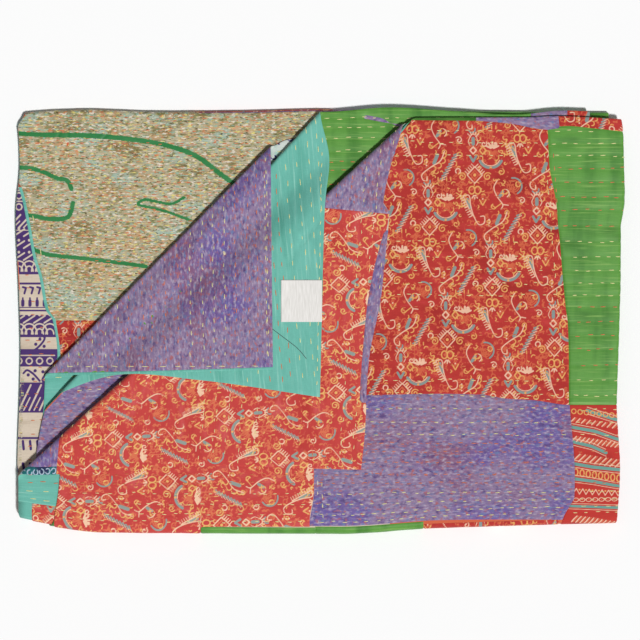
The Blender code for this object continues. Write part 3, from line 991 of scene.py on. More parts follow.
def moved(points, shift, turn=0.0):
    c, s = np.cos(np.radians(turn)), np.sin(np.radians(turn))
    return [(shift[0] + x * c - y * s, shift[1] + x * s + y * c) for x, y in points]


def rays(count, inner, outer, first, last, middle=(0, 0)):
    """Short strokes that spread from a middle like a fan."""
    for angle in np.radians(np.linspace(first, last, count)):
        c, s = np.cos(angle), np.sin(angle)
        yield [(middle[0] + inner * c, middle[1] + inner * s), (middle[0] + outer * c, middle[1] + outer * s)]


def teeth(start, end, count, length, lean=90):
    """Short strokes along a line from start to end, like a comb's."""
    start, end = np.array(start, float), np.array(end, float)
    angle = np.arctan2(*(end - start)[::-1]) + np.radians(lean)
    for t in np.linspace(0, 1, count):
        foot = start + (end - start) * t
        yield [tuple(foot), (foot[0] + length * np.cos(angle), foot[1] + length * np.sin(angle))]


def diamond(width, height):
    return [(-width / 2, 0), (0, height / 2), (width / 2, 0), (0, -height / 2)]


CREAM_INK, GOLD_INK, GREY_INK, ORANGE_INK = range(4)


# %% [markdown]
# A block printer fills the ground with a few large figures and many small ones. Each motif here is a
# centre in the repeat and a handful of strokes, and seeded curls fill the spaces between them.

# %% Motifs of the red print
def flowing(points, steps=5):
    """A smooth line through points, for stems and woven bands."""
    points = np.array(points, float)
    ends = np.vstack((2 * points[0] - points[1], points, 2 * points[-1] - points[-2]))
    line = []
    for a, b, c, d in zip(ends[:-3], ends[1:-2], ends[2:-1], ends[3:]):
        for t in np.arange(steps) / steps:
            cubic = a - 2.5 * b + 2 * c - d / 2 + t * (1.5 * (b - c) + (d - a) / 2)
            line.append(tuple(b + t * ((c - a) / 2 + t * cubic)))
    return [*line, tuple(points[-1])]


def motif(centre, *strokes):
    return {"centre": centre, "strokes": strokes}


def stroke(points, width=1.2, ink=CREAM_INK, closed=False):
    return {"points": list(points), "width": width, "ink": ink, "closed": closed}


def many(lines, width=1.0, ink=CREAM_INK):
    return [stroke(points, width, ink) for points in lines]


CRESTED_DIAMOND = motif(
    (0, 0),
    stroke(diamond(19, 21), 1.4, CREAM_INK, True),
    stroke(diamond(10, 12), 1.3, ORANGE_INK, True),
    stroke([(0, 0)], 3.8, GOLD_INK),
    *many(teeth((1, 10.5), (9, 1.5), 5, 4.6, 95), 1.2),
    *many(teeth((-1, 10.5), (-9, 1.5), 5, 4.6, -95), 1.2),
    stroke(arc(1.2, 0, 500, 16, (-16, -2), 1.0, 4.2), 1.4, GOLD_INK),
    stroke(arc(1.2, 180, -320, 16, (16, -2), 1.0, 4.2), 1.4, GOLD_INK),
    stroke(arc(3.2, -60, 230, 8, (-21, 5)), 1.5),
    stroke(arc(3.8, 0, 360, 10, (-3.6, -19), 1.3), 1.6, GOLD_INK),
    stroke(arc(3.8, 0, 360, 10, (3.6, -19), 1.3), 1.6, GOLD_INK),
    *many(rays(3, 2, 6, 235, 305, (0, -24)), 1.6),
)
COMB = motif(
    (-4, -43),
    stroke(flowing([(-10, 17), (-3, 17), (-1, 4), (3, -9), (9, -19), (16, -17), (16, -9), (11, -9)]), 1.4),
    stroke([(-10, 16), (1, -8)], 1.2),
    *many(teeth((-10, 15), (1, -8), 9, 4.6, -90), 1.2),
    stroke([(-5.5, 13), (-1.5, 2)], 3.8, GREY_INK),
)
SPRIG = motif(
    (31, -24),
    stroke(flowing([(-3, 17), (-7, 8), (-3, -3), (4, -13), (2, -19)]), 1.4),
    stroke([(4, -13), (11, -14)], 1.4),
    stroke([(3, -11), (-5, -17), (-9, -14)], 1.3, GOLD_INK),
    stroke([(0, -3), (4, 3)], 3.8, GREY_INK),
    stroke(arc(5, -60, 80, 6, (7, 1)), 1.4),
)
GARLAND = motif(
    (20, 16),
    stroke(arc(15, 205, 335, 9, (0, 8)), 3.2, GREY_INK),
    stroke(arc(12.5, 205, 335, 9, (0, 8)), 1.2),
    stroke([(0, -7)], 3.0, GOLD_INK),
    *many(rays(5, 2, 8.5, 25, 155, (2, 17)), 2.2),
    *many(rays(9, 3, 11, 200, 340, (2, 16)), 1.3, ORANGE_INK),
)
TWIN_DIAMONDS = motif(
    (-2, 31),
    stroke(diamond(8, 9), 1.8, CREAM_INK, True),
    stroke(moved(diamond(8, 10), (12, 0)), 1.7, GOLD_INK, True),
    stroke(flowing([(-4, 6), (-6, 12), (0, 21), (6, 12), (4, 6)]), 1.1),
    stroke([(0, 8), (0, 15)], 4.2, GREY_INK),
    *many(rays(5, 6, 10, 45, 135, (0, 14)), 1.3),
    stroke([(-4, -7), (0, -14), (4, -7)], 2.8, GREY_INK),
    stroke([(12, -8), (12, -14)], 1.4, GOLD_INK),
)
ROPE = motif(
    (-29, 12),
    *many(teeth((8, 15), (-9, -15), 9, 5.5, -40), 1.9, GREY_INK),
    *many(teeth((9, 13), (-8, -17), 9, 5.0, -40), 1.1),
)
SCALLOPED_LEAF = motif(
    (-52, 12),
    stroke(flowing([(14, 18), (9, 6), (-3, -2), (-14, -11), (-13, -18), (-8, -19), (-8, -14)]), 1.4),
    *[stroke(arc(3.2, -100, 130, 6, spot), 1.4, GOLD_INK) for spot in ((13, 13), (12, 6), (7, 0), (0, -4))],
    stroke([(5, 13), (1, 3)], 4.4, GREY_INK),
)
PILLARS = motif(
    (-38, -17),
    *many([[(-3, 13), (-3, -8)], [(3, 13), (3, -8)]], 1.2, ORANGE_INK),
    stroke(arc(1, 0, 400, 12, (-7, -9), 1.0, 3.0), 1.4),
    stroke(arc(1, 180, -220, 12, (7, -9), 1.0, 3.0), 1.4),
    stroke([(-11, -12), (11, -12)], 1.4, GOLD_INK),
    *many(teeth((-8, 10), (8, 10), 4, 4, 90), 1.4, GOLD_INK),
)
ROSETTE = motif(
    (48, -14),
    *[stroke(arc(size, 30 * size, 30 * size + 260, 9), 1.4, ORANGE_INK) for size in (2.5, 5.0, 7.5)],
    stroke(arc(10.5, -60, 100, 8), 2.0, GREY_INK),
    *many(rays(5, 11, 14, 150, 250), 1.2, GOLD_INK),
)
SMALL_FIGURES = [
    motif((18, -60), *[stroke([(0, y)], 2.3) for y in (-4, 0, 4)]),
    motif((-18, -26), *many(rays(5, 1, 6, 0, 288), 1.5, GOLD_INK), stroke([(0, 0)], 2.2)),
    motif((10, -34), stroke([(-4, 3), (0, -4), (4, 3)], 1.6, GOLD_INK), stroke([(0, 4)], 2.2)),
    motif((33, 4), stroke(arc(1, 0, 420, 10, (0, 0), 1.0, 3.4), 1.4, GOLD_INK)),
    motif((-20, 44), stroke(arc(1, 90, 500, 10, (0, 0), 1.0, 3.6), 1.4)),
    motif((-60, -8), stroke(arc(4, 200, 380, 7), 1.8, GREY_INK), stroke([(0, 3)], 2.4, GOLD_INK)),
    motif((42, 24), *many(rays(4, 2, 7, 30, 150), 1.5, GOLD_INK)),
]
RED_MOTIFS = [
    CRESTED_DIAMOND, COMB, SPRIG, GARLAND, TWIN_DIAMONDS,
    ROPE, SCALLOPED_LEAF, PILLARS, ROSETTE, *SMALL_FIGURES
]
REPEAT = np.array(((-56.5, 78.5), (-65.3, -76.0)))
FILLER_CURLS = 150
FILLER_INKS = (ORANGE_INK, ORANGE_INK, GOLD_INK)
filler_seeds = np.random.default_rng(11)
for number in range(FILLER_CURLS):
    centre = REPEAT @ filler_seeds.uniform(-0.5, 0.5, 2)
    size, start = filler_seeds.uniform(1.4, 3.8), filler_seeds.uniform(0, 360)
    curl = arc(size, start, start + filler_seeds.uniform(90, 300), 5)
    RED_MOTIFS.append(motif(tuple(centre), stroke(curl, 1.3, FILLER_INKS[number % len(FILLER_INKS)])))
print("motifs in one repeat of the red print", len(RED_MOTIFS))


def red_design(turn, anchor):
    """The red print, turned by so many degrees about an anchor on the table."""
    c, s = np.cos(np.radians(turn)), np.sin(np.radians(turn))
    back = np.linalg.inv(REPEAT)

    def design(x, y):
        px, py = (x - anchor[0]) * c + (y - anchor[1]) * s, -(x - anchor[0]) * s + (y - anchor[1]) * c
        dye = empty_dye(x)
        for one in RED_MOTIFS:
            rel = np.stack((px - one["centre"][0], py - one["centre"][1]))
            rel = rel - REPEAT @ np.round(back @ rel)
            for line in one["strokes"]:
                draw(dye, rel[0], rel[1], line["points"], line["width"], line["ink"], line["closed"])
        return dye

    return design

# %% [markdown]
# The other prints and the woven bands are drawn the same way: a cream cloth with dark block-printed
# figures, a bordered cloth of hatched bands, and green bands woven into the old brocade.


# %% Other designs
BROCADE_BANDS = (
    ([(-384, 238), (-342, 234), (-268, 231), (-206, 224), (-160, 209), (-130, 188), (-110, 173)], 6.2),
    ([(-380, 193), (-361, 191), (-346, 186), (-331, 179), (-318, 176), (-313, 166)], 5.6),
    ([(-372, 133), (-357, 131), (-342, 128), (-323, 128), (-315, 133), (-311, 148)], 5.6),
    ([(-366, 92), (-342, 83), (-296, 78), (-255, 73), (-219, 68)], 5.0),
    ([(-171, 155), (-186, 147), (-203, 149), (-221, 152),
      (-229, 146), (-212, 142), (-193, 137), (-163, 126)], 3.6),
)


def brocade_design(x, y):
    dye = empty_dye(x)
    for points, width in BROCADE_BANDS:
        draw(dye, x, y, flowing(points, 6), width, 0)
    return dye


def carve(dye, x, y, points, width, closed=False):
    """Leaves the ground bare along a stroke, like a line cut out of a printing block."""
    cut = empty_dye(x)
    draw(cut, x, y, points, width, 0, closed)
    dye[:, 0] = np.minimum(dye[:, 0], 1 - cut[:, 0])


#          rows of the cream cloth: its printed blocks, by what is cut out of each
BLOCKS = (
    {"top": 190, "foot": 136, "cut": "rings"},
    {"top": 136, "foot": 114, "cut": "bars"},
    {"top": 113, "foot": 58, "cut": "arches"},
    {"top": 7, "foot": -21, "cut": "arches"},
    {"top": -36, "foot": -58, "cut": "rings"},
    {"top": -78, "foot": -116, "cut": "bars"},
)
CREAM_LEFT, CREAM_RIGHT = -392, -330


def cream_design(x, y):
    """Dark printed blocks with lines cut out of them, and bands of hooks and temples between."""
    dye = empty_dye(x)
    for block in BLOCKS:
        middle = (block["top"] + block["foot"]) / 2
        tall = block["top"] - block["foot"]
        draw(dye, x, y, [(CREAM_LEFT, middle), (CREAM_RIGHT, middle)], tall, 0)
        for px in range(CREAM_LEFT, CREAM_RIGHT, 13):
            if block["cut"] == "bars":
                carve(dye, x, y, [(px, block["foot"] + 3), (px + 15, block["top"] - 3)], 2.2)
                carve(dye, x, y, [(px + 6, block["foot"] + 3), (px + 14, middle)], 1.6)
            elif block["cut"] == "rings":
                for py in np.arange(block["foot"] + 7, block["top"] - 3, 14):
                    carve(dye, x, y, arc(4, 0, 360, 8, (px, py)), 1.8)
                    carve(dye, x, y, [(px - 6, py + 7), (px + 6, py + 7)], 1.6)
            else:
                for size in (5, 10):
                    carve(dye, x, y, arc(size, 0, 180, 8, (px, block["foot"] + 4), 1.3), 1.8)
                for py in np.arange(block["foot"] + 22, block["top"], 15):
                    carve(dye, x, y, [(px - 7, py - 4), (px + 7, py + 5)], 2.0)
                    carve(dye, x, y, [(px, py + 6)], 3.4)
    for line_y, width in ((46.5, 2.6), (12.5, 2.2), (16.5, 1.4), (-148, 2.6)):
        draw(dye, x, y, [(CREAM_LEFT, line_y), (CREAM_RIGHT, line_y)], width, 0)
    for px in range(CREAM_LEFT, CREAM_RIGHT, 9):
        draw(dye, x, y, [(px, 42), (px + 4, 41), (px + 2, 34)], 2.6, 0)
        draw(dye, x, y, [(px, 19.5), (px, 24.5)], 4.2, 0)
        draw(dye, x, y, [(px, 28)], 2.6, 0)
        draw(dye, x, y, [(px, -152), (px + 1, -162)], 3.2, 0)
        draw(dye, x, y, [(px, -180), (px + 2, -190)], 3.4, 0)
    sprigs = (((-352, -31), 20), ((-344, -66), 200), ((-360, -68), 110))
    for middle, turn in sprigs:
        draw(dye, x, y, moved(flowing([(-10, -4), (0, 0), (8, 6), (6, 12)]), middle, turn), 2.6, 0)
        for spot in ((-5, 3), (2, 7), (4, -3)):
            draw(dye, x, y, moved([spot], middle, turn), 4.2, 0)
    return dye


def navy_design(x, y):
    """A row of loops on a narrow dark band that slopes up to the right."""
    dye = empty_dye(x)
    for number in range(9):
        middle = (-379 + 7.5 * number, -192 + 0.6 * number)
        draw(dye, x, y, arc(2.8, 40 * number, 40 * number + 290, 7, middle, 1.3), 1.4, 0)
        draw(dye, x, y, [(middle[0] + 3.5, middle[1] - 4)], 2.2, 1)
    return dye


def border_design(x, y):
    """Bands that slope a little: grey-green stripes, hatching, drops, zigzags and rings."""
    dye = empty_dye(x)
    stripes = (
        [(337, -113), (378, -126)],
        [(312, -133), (345, -139), (378, -151)],
        [(312, -151), (340, -158), (357, -166)],
        [(312, -179), (340, -184), (378, -188)],
        [(312, -198), (340, -202), (378, -210)],
        [(300, -240), (340, -243), (378, -246)],
    )
    for points in stripes:
        draw(dye, x, y, points, 4.2, GREY_INK)
        for drop in (4.4, -4.4):
            draw(dye, x, y, [(px, py + drop) for px, py in points], 1.1, CREAM_INK)
    for foot_y, reach, count in ((-151, 8, 12), (-176, 12, 10), (-127, 7, 10), (-262, 9, 12)):
        for line in teeth((316, foot_y), (374, foot_y - 9), count, reach, 52):
            draw(dye, x, y, line, 1.5, CREAM_INK)
            draw(dye, x, y, moved(line, (2.5, 0)), 1.3, ORANGE_INK)
    for number in range(8):
        middle = (319 + number * 7.6, -190.5 - number * 1.1)
        draw(dye, x, y, arc(2.6, 100, 440, 8, middle, 1.7), 1.5, GOLD_INK)
        middle = (320 + number * 8, -216 - number * 0.6)
        draw(dye, x, y, moved([(-4, -5), (0, 4), (4, -5)], middle), 1.2, CREAM_INK)
        draw(dye, x, y, [(middle[0] + 4, middle[1] + 2)], 2.6, GOLD_INK)
        middle = (320 + number * 8, -231)
        draw(dye, x, y, arc(3.4, 0, 360, 8, middle), 1.2, CREAM_INK)
        draw(dye, x, y, [middle], 2.2, ORANGE_INK)
        middle = (320 + number * 8, -114 - number * 0.8)
        draw(dye, x, y, arc(3.0, 0, 360, 8, middle), 1.3, GOLD_INK)
    return dye


def floral_design(x, y):
    dye = empty_dye(x)
    for px in range(-390, 120, 21):
        for py in range(-280, 280, 23):
            for line in rays(6, 1.2, 5, 0, 300, (px, py)):
                draw(dye, x, y, line, 2.2, 0)
            draw(dye, x, y, arc(8, 30, 150, 5, (px + 8, py - 4)), 1.4, 1)
    return dye


DESIGNS = {
    "red": red_design(0, (194.3, 182.6)),
    "red_turned": red_design(-87, (-120, -120)),
    "brocade": brocade_design,
    "cream": cream_design,
    "navy": navy_design,
    "border": border_design,
    "floral": floral_design,
}

# %% [markdown]
# The pieces of patchwork that show, layer by layer. Each row says on which layer and which side of
# the cloth the piece lies, its four edges in millimetres, and the size of its net. A printed piece
# has a net of about 1 mm, and a plain one can be coarser.

# %% Pieces on the top layer
TOP_SEAM = curve(
    (239, 285), (198, 286), (155, 293), (105, 300), (58, 304), (17, 308), (-3, 311), (-45, 313), (-105, 314)
)
CROSS_SEAM = curve(
    (58, -94), (95, -93), (152, -92), (201, -93), (234, -98), (268, -100), (315, -106), (377, -106)
)
top_pieces = [
    {
        "name": "top_red", "layer": 8, "face": "front", "cloth": "red", "design": "red", "cell": 1.15,
        "left": curve((252, 106), (242, 92), (180, 70), (-80, 42), (-190, 36)), "right": TOP_SEAM,
        "low": CROSS_SEAM,
        "high": curve((107, 251), (196, 251), (226, 249), (245, 247), (264, 243), (283, 241)),
    },
    {
        "name": "top_purple_strip", "layer": 8, "face": "front", "cloth": "purple", "cell": 1.5,
        "left": level(196), "right": level(300),
        "low": curve((196, 251), (226, 249), (245, 247), (264, 243), (283, 240), (300, 240)),
        "high": open_edge(8),
    },
    {
        "name": "top_red_strip", "layer": 8, "face": "front", "cloth": "red", "design": "red", "cell": 1.2,
        "left": level(300), "right": round_right_fold(8), "high": open_edge(8),
        "low": curve((286, 240.5), (295, 244), (311, 245.5), (339, 243), (377, 239)),
    },
    {
        "name": "top_green", "layer": 8, "face": "front", "cloth": "green", "cell": 2.2,
        "left": TOP_SEAM, "right": round_right_fold(8), "low": CROSS_SEAM,
        "high": curve((283, 240.5), (295, 244), (311, 245.5), (339, 243), (377, 239)),
    },
    {
        "name": "top_purple", "layer": 8, "face": "front", "cloth": "purple", "cell": 2.2,
        "left": curve((-90, -8), (-195, -7.5), (-212, -7.5), (-250, -13)),
        "right": curve((-106, 315), (-138, 316.5), (-225, 318), (-238, 314), (-256, 306)),
        "low": curve((-13, -256), (130, -256), (300, -260)), "high": CROSS_SEAM,
    },
    {
        "name": "top_border", "layer": 8, "face": "front", "cloth": "border", "design": "border", "cell": 1.0,
        "left": curve((-106, 315), (-138, 316.5), (-225, 318), (-238, 314), (-256, 306), (-275, 300)),
        "right": round_right_fold(8), "low": level(-275), "high": CROSS_SEAM,
    },
    {
        "name": "top_red_foot", "layer": 8, "face": "front",
        "cloth": "pale_red", "design": "red_turned", "cell": 1.3,
        "left": left_edge(8), "right": curve((-178, -8), (-212, -7.5), (-250, -13), (-275, -13)),
        "low": curve((-330, -275), (-152, -275), (-148, -258), (-5, -257)), "high": level(-178),
    },
    {
        "name": "fold_green_left", "layer": 8, "face": "front", "cloth": "green", "cell": 1.6,
        "left": level(-150), "right": level(-5), "low": level(-290), "high": level(-258),
    },
    {
        "name": "fold_green_middle", "layer": 8, "face": "front", "cloth": "green", "cell": 1.6,
        "left": level(-6), "right": level(130), "low": level(-290), "high": level(-257),
    },
    {
        "name": "fold_red_right", "layer": 8, "face": "front", "cloth": "red", "design": "red", "cell": 1.4,
        "left": level(131), "right": level(300), "low": level(-290), "high": level(-260),
    },
]

# %% Pieces on the turned-back corners
LINE_5, LINE_6, LINE_7 = turn_line(5, 14), turn_line(6, 20), turn_line(7, 14)
HEM_WIDTH = 2.6 * MM
corner_pieces = [
    {
        "name": "third_purple_top", "layer": 7, "face": "front", "cloth": "purple", "cell": 1.8,
        "left": level(-11.3), "right": level(120), "low": LINE_7, "high": open_edge(7),
    },
    {
        "name": "third_purple_edge", "layer": 7, "face": "front", "cloth": "purple", "cell": 1.5,
        "left": level(-250), "right": level(-32), "high": open_edge(7),
        "low": curve((-250, 229), (-246, 226), (-145, 224.6), (-37, 236), (-32, 239)),
    },
    {
        "name": "third_red", "layer": 7, "face": "front",
        "cloth": "pale_red", "design": "red_turned", "cell": 1.4,
        "left": left_edge(7), "right": level(-11.3), "low": higher_of(LINE_7, level(-144.5)),
        "high": curve(
            (-334, 236), (-252, 235), (-250, 229), (-246, 226),
            (-145, 224.6), (-37, 236), (-32, 239), (-11, 241)
        ),
    },
    {
        "name": "third_purple_foot", "layer": 7, "face": "front", "cloth": "purple", "cell": 1.8,
        "left": lambda y: left_edge(7)(y) + 10 * MM, "right": level(-309),
        "low": LINE_7, "high": level(-144.5),
    },
    {
        "name": "third_navy", "layer": 7, "face": "front", "cloth": "navy", "design": "navy", "cell": 1.1,
        "left": left_edge(7), "right": lambda y: left_edge(7)(y) + 10 * MM,
        "low": level(-205), "high": level(-144.5),
    },
    {
        "name": "third_teal_tab", "layer": 7, "face": "back", "cloth": "teal", "cell": 2.0,
        "left": left_edge(7), "right": level(-318), "low": level(-238), "high": level(-185),
    },
    {
        "name": "third_red_tab", "layer": 7, "face": "back",
        "cloth": "pale_red", "design": "red", "cell": 1.2,
        "left": level(-362), "right": level(-318), "low": level(-275), "high": level(-238),
    },
    {
        "name": "second_teal", "layer": 6, "face": "back", "cloth": "teal", "cell": 2.6,
        "left": left_edge(6), "right": level(12), "low": LINE_6, "high": open_edge(6),
    },
    {
        "name": "second_green", "layer": 6, "face": "front", "cloth": "green", "cell": 1.8,
        "left": level(-5), "right": level(265), "low": lower_of(LINE_7, level(240)), "high": open_edge(6),
    },
    {
        "name": "second_purple", "layer": 6, "face": "front", "cloth": "purple", "cell": 1.6,
        "left": level(265), "right": level(311), "low": level(236), "high": open_edge(6),
    },
    {
        "name": "second_red", "layer": 6, "face": "front", "cloth": "red", "design": "red", "cell": 1.2,
        "left": level(311), "right": level(346), "low": level(236), "high": open_edge(6),
    },
    {
        "name": "second_purple_foot", "layer": 6, "face": "front", "cloth": "purple", "cell": 1.8,
        "left": left_edge(6), "right": level(-225), "low": LINE_7, "high": turn_line(6, -2),
    },
    {
        "name": "first_purple", "layer": 5, "face": "front", "cloth": "purple", "cell": 2.0,
        "left": lambda y: left_edge(5)(y) + HEM_WIDTH, "right": level(-40),
        "low": LINE_5, "high": open_edge(5),
    },
    {
        "name": "first_hem", "layer": 5, "face": "front", "cloth": "teal", "cell": 1.4,
        "left": left_edge(5), "right": lambda y: left_edge(5)(y) + HEM_WIDTH + 0.6 * MM,
        "low": LINE_5, "high": open_edge(5),
    },
    {
        "name": "first_floral", "layer": 5, "face": "back",
        "cloth": "floral", "design": "floral", "cell": 1.1,
        "left": level(-62), "right": level(-25), "low": level(190), "high": open_edge(5),
    },
    {
        "name": "first_teal_foot", "layer": 5, "face": "back", "cloth": "teal", "cell": 2.0,
        "left": left_edge(5), "right": level(-300), "low": level(-125), "high": turn_line(5, -2),
    },
]

# %% Pieces on the layer below the corners
BROCADE_LEFT = curve(
    (262, -371), (246, -380), (230, -379), (195, -378), (172, -379), (170, -377), (120, -365), (81, -358),
    (55, -350), (14, -342), (0, -333)
)
TRIM_WIDTH = 3.2 * MM
CREAM_SEAM = curve(
    (172, -379), (170, -377), (120, -365), (81, -358), (55, -350), (14, -342), (0, -333), (-45, -327),
    (-60, -335), (-120, -338), (-200, -345)
)
lower_pieces = [
    {
        "name": "fourth_brocade", "layer": 4, "face": "front",
        "cloth": "brocade", "design": "brocade", "cell": 1.8,
        "left": BROCADE_LEFT,
        "right": curve((0, -262), (100, -164), (200, -64), (219, -44), (240, -8), (262, 16)),
        "low": level(0), "high": curve((-382, 270), (-170, 270), (-150, 262), (16, 261.5)),
    },
    {
        "name": "fourth_red_strip", "layer": 4, "face": "front", "cloth": "red", "design": "red", "cell": 1.3,
        "left": level(-168), "right": level(16), "low": level(262.5), "high": level(276),
    },
    {
        "name": "fourth_cream", "layer": 4, "face": "front", "cloth": "cream", "design": "cream", "cell": 1.2,
        "left": left_edge(4), "right": lambda y: CREAM_SEAM(y) - TRIM_WIDTH,
        "low": level(-200), "high": level(170),
    },
    {
        "name": "fourth_teal_trim", "layer": 4, "face": "front", "cloth": "teal", "cell": 1.4,
        "left": lambda y: CREAM_SEAM(y) - TRIM_WIDTH - 0.4 * MM, "right": lambda y: CREAM_SEAM(y) + 0.8 * MM,
        "low": level(-50), "high": level(168),
    },
    {
        "name": "fourth_olive_edge", "layer": 4, "face": "front", "cloth": "brocade", "cell": 1.6,
        "left": left_edge(4), "right": lambda y: left_edge(4)(y) + 7 * MM,
        "low": level(-190), "high": level(-58),
    },
    {
        "name": "fourth_red_edge", "layer": 4, "face": "front", "cloth": "pale_red", "cell": 1.4,
        "left": left_edge(4), "right": lambda y: left_edge(4)(y) + 4 * MM,
        "low": level(38), "high": level(76),
    },
    {
        "name": "fourth_red", "layer": 4, "face": "front", "cloth": "red", "design": "red", "cell": 1.2,
        "left": curve((0, -333), (-45, -327), (-52, -326)), "right": curve((0, -262), (-52, -312)),
        "low": level(-60), "high": level(0),
    },
]

pieces = {}
for row in (*lower_pieces, *corner_pieces, *top_pieces):
    pieces[row["name"]] = lay_piece(row, DESIGNS.get(row.get("design")))
print("pieces of patchwork", len(pieces))

# %% [markdown]
# One stitch is a bead of thread: a stretched ball, modelled once and copied along every row. Each
# copy is bent to the cloth below it, and its two ends dive into the cloth. The stitches of one
# thread colour are joined into one mesh.

# %% One stitch
STITCH_RADIUS = 0.5 * MM
deselect_all()
bpy.ops.mesh.primitive_uv_sphere_add(segments=5, ring_count=6, radius=1)
bead = bpy.context.object
bpy.ops.object.mode_set(mode="EDIT")
bpy.ops.mesh.select_all(action="SELECT")
bpy.ops.mesh.quads_convert_to_tris()
bpy.ops.object.mode_set(mode="OBJECT")
bead_verts = np.array([tuple(vert.co) for vert in bead.data.vertices])
bead_faces = np.array([tuple(face.vertices) for face in bead.data.polygons])
#          the ball's poles become the ends of the stitch
bead_along, bead_side, bead_up = bead_verts[:, 2], bead_verts[:, 1], bead_verts[:, 0]
bpy.data.objects.remove(bead)
print("triangles in a stitch", len(bead_faces))


# %% Rows of stitches on a piece
def surface(piece_face, u, v):
    """A point of the cloth's visible side, with the direction it faces."""
    step = 0.6 * MM
    place = fold(u, v)
    normal = np.cross(fold(u + step, v) - place, fold(u, v + step) - place)
    normal /= np.maximum(np.linalg.norm(normal, axis=-1, keepdims=True), 1e-12)
    return place, normal * piece_face


THREADS = {"yellow": [], "orange": []}
stitch_seeds = np.random.default_rng(5)
MARGIN = 3 * MM


def stitch_spots(piece, row_y, pitch, length):
    """Where the stitches of one row lie on a piece: middles and lengths along the layer's X."""
    count = int(0.9 / pitch)
    x = -0.42 + np.cumsum(pitch * stitch_seeds.uniform(0.82, 1.18, count))
    y = np.full(count, row_y) + 0.7 * MM * stitch_seeds.normal(size=count)
    size = length * stitch_seeds.uniform(0.8, 1.2, count)
    inside = (x - size / 2 > piece["left"](y) + MARGIN) & (x + size / 2 < piece["right"](y) - MARGIN)
    inside &= (y > piece["low"](x) + MARGIN) & (y < piece["high"](x) - MARGIN)
    return x[inside], y[inside], size[inside]


def add_stitches(thread, face, u, v, size, angle):
    """Keeps stitches for later: middle, length, direction on the flat sheet and the side they show on."""
    side = -1 if face == "front" else 1
    THREADS[thread].extend((a, b, c, d, side) for a, b, c, d in zip(u, v, size, angle))


def sew(piece, pitch, length):
    """Sews the rows of running stitch of a layer across one piece."""
    for thread, places in ROWS[run_of(piece["layer"])].items():
        for row_y in places:
            x, y, size = stitch_spots(piece, row_y * MM, pitch * MM, length * MM)
            u, v = to_flat(piece["layer"], x, y)
            add_stitches(thread, piece["face"], u, v, size, stitch_seeds.normal(size=len(u)) * 0.05)


stitch_sizes = {"green": (14.0, 7.6), "purple": (14.0, 7.0), "teal": (19, 9.5)}
USUAL_STITCH = (13.6, 6.8)
TRIMS = ("first_hem", "fourth_teal_trim", "fourth_olive_edge", "fourth_red_edge", "third_navy")
for row in (*lower_pieces, *corner_pieces, *top_pieces):
    if row["name"] not in TRIMS:
        sew(row, *stitch_sizes.get(row["cloth"], USUAL_STITCH))

# %% [markdown]
# Hems and long seams are held by lines of stitch of their own, which follow the edge and not the
# rows. Each is given by its two ends in millimetres, as it is seen from above.

# %% Hems
HEMS = (
    {"layer": 5, "turned": True, "face": "front",
     "from": (-70, 188), "to": (-66, -48), "gap": 13, "thread": "yellow"},
    {"layer": 5, "turned": True, "face": "front",
     "from": (-322, -58), "to": (-74, -57), "gap": 19, "thread": "yellow"},
    {"layer": 6, "turned": True, "face": "back",
     "from": (3, 232), "to": (-4, -84), "gap": 14, "thread": "yellow"},
    {"layer": 8, "turned": False, "face": "front",
     "from": (291, 214), "to": (309, -96), "gap": 14, "thread": "orange"},
    {"layer": 8, "turned": False, "face": "front",
     "from": (280, 214), "to": (306, -60), "gap": 15, "thread": "yellow"},
    {"layer": 8, "turned": False, "face": "front",
     "from": (64, -89), "to": (306, -100), "gap": 13, "thread": "yellow"},
    {"layer": 8, "turned": False, "face": "front",
     "from": (2, -198), "to": (4, -252), "gap": 12, "thread": "yellow"},
    {"layer": 4, "turned": False, "face": "front",
     "from": (-368, 160), "to": (-334, 8), "gap": 22, "thread": "yellow"},
)
HEM_STITCH = 0.52
for hem in HEMS:
    start, end = on_sheet(hem)
    reach = np.hypot(*(end - start))
    count = int(reach / (hem["gap"] * MM))
    share = (np.arange(count) + 0.5 + stitch_seeds.uniform(-0.15, 0.15, count)) / count
    u, v = (start[:, None] + (end - start)[:, None] * share)
    size = HEM_STITCH * hem["gap"] * MM * stitch_seeds.uniform(0.85, 1.15, count)
    direction = np.arctan2(end[1] - start[1], end[0] - start[0])
    angle = direction + 0.08 * stitch_seeds.normal(size=count)
    add_stitches(hem["thread"], hem["face"], u, v, size, angle)
for thread, stitches in THREADS.items():
    print(thread, "stitches", len(stitches))


# %% Threads
def thread_material(name, colour):
    material = bpy.data.materials.new(name)
    material.use_nodes = True
    tree = material.node_tree
    shader = tree.nodes["Principled BSDF"]
    spots = tree.nodes.new("ShaderNodeTexCoord").outputs["Object"]
    shade = noise(tree, spots, 400, 400, 2.0)
    darker = tuple(0.7 * part for part in colour[:3]) + (1,)
    link(tree, mix_colours(tree, band(tree, shade, 0.3, 0.7), darker, colour), shader.inputs["Base Color"])
    shader.inputs["Roughness"].default_value = 0.6
    shader.inputs["Sheen Weight"].default_value = 0.3
    return material


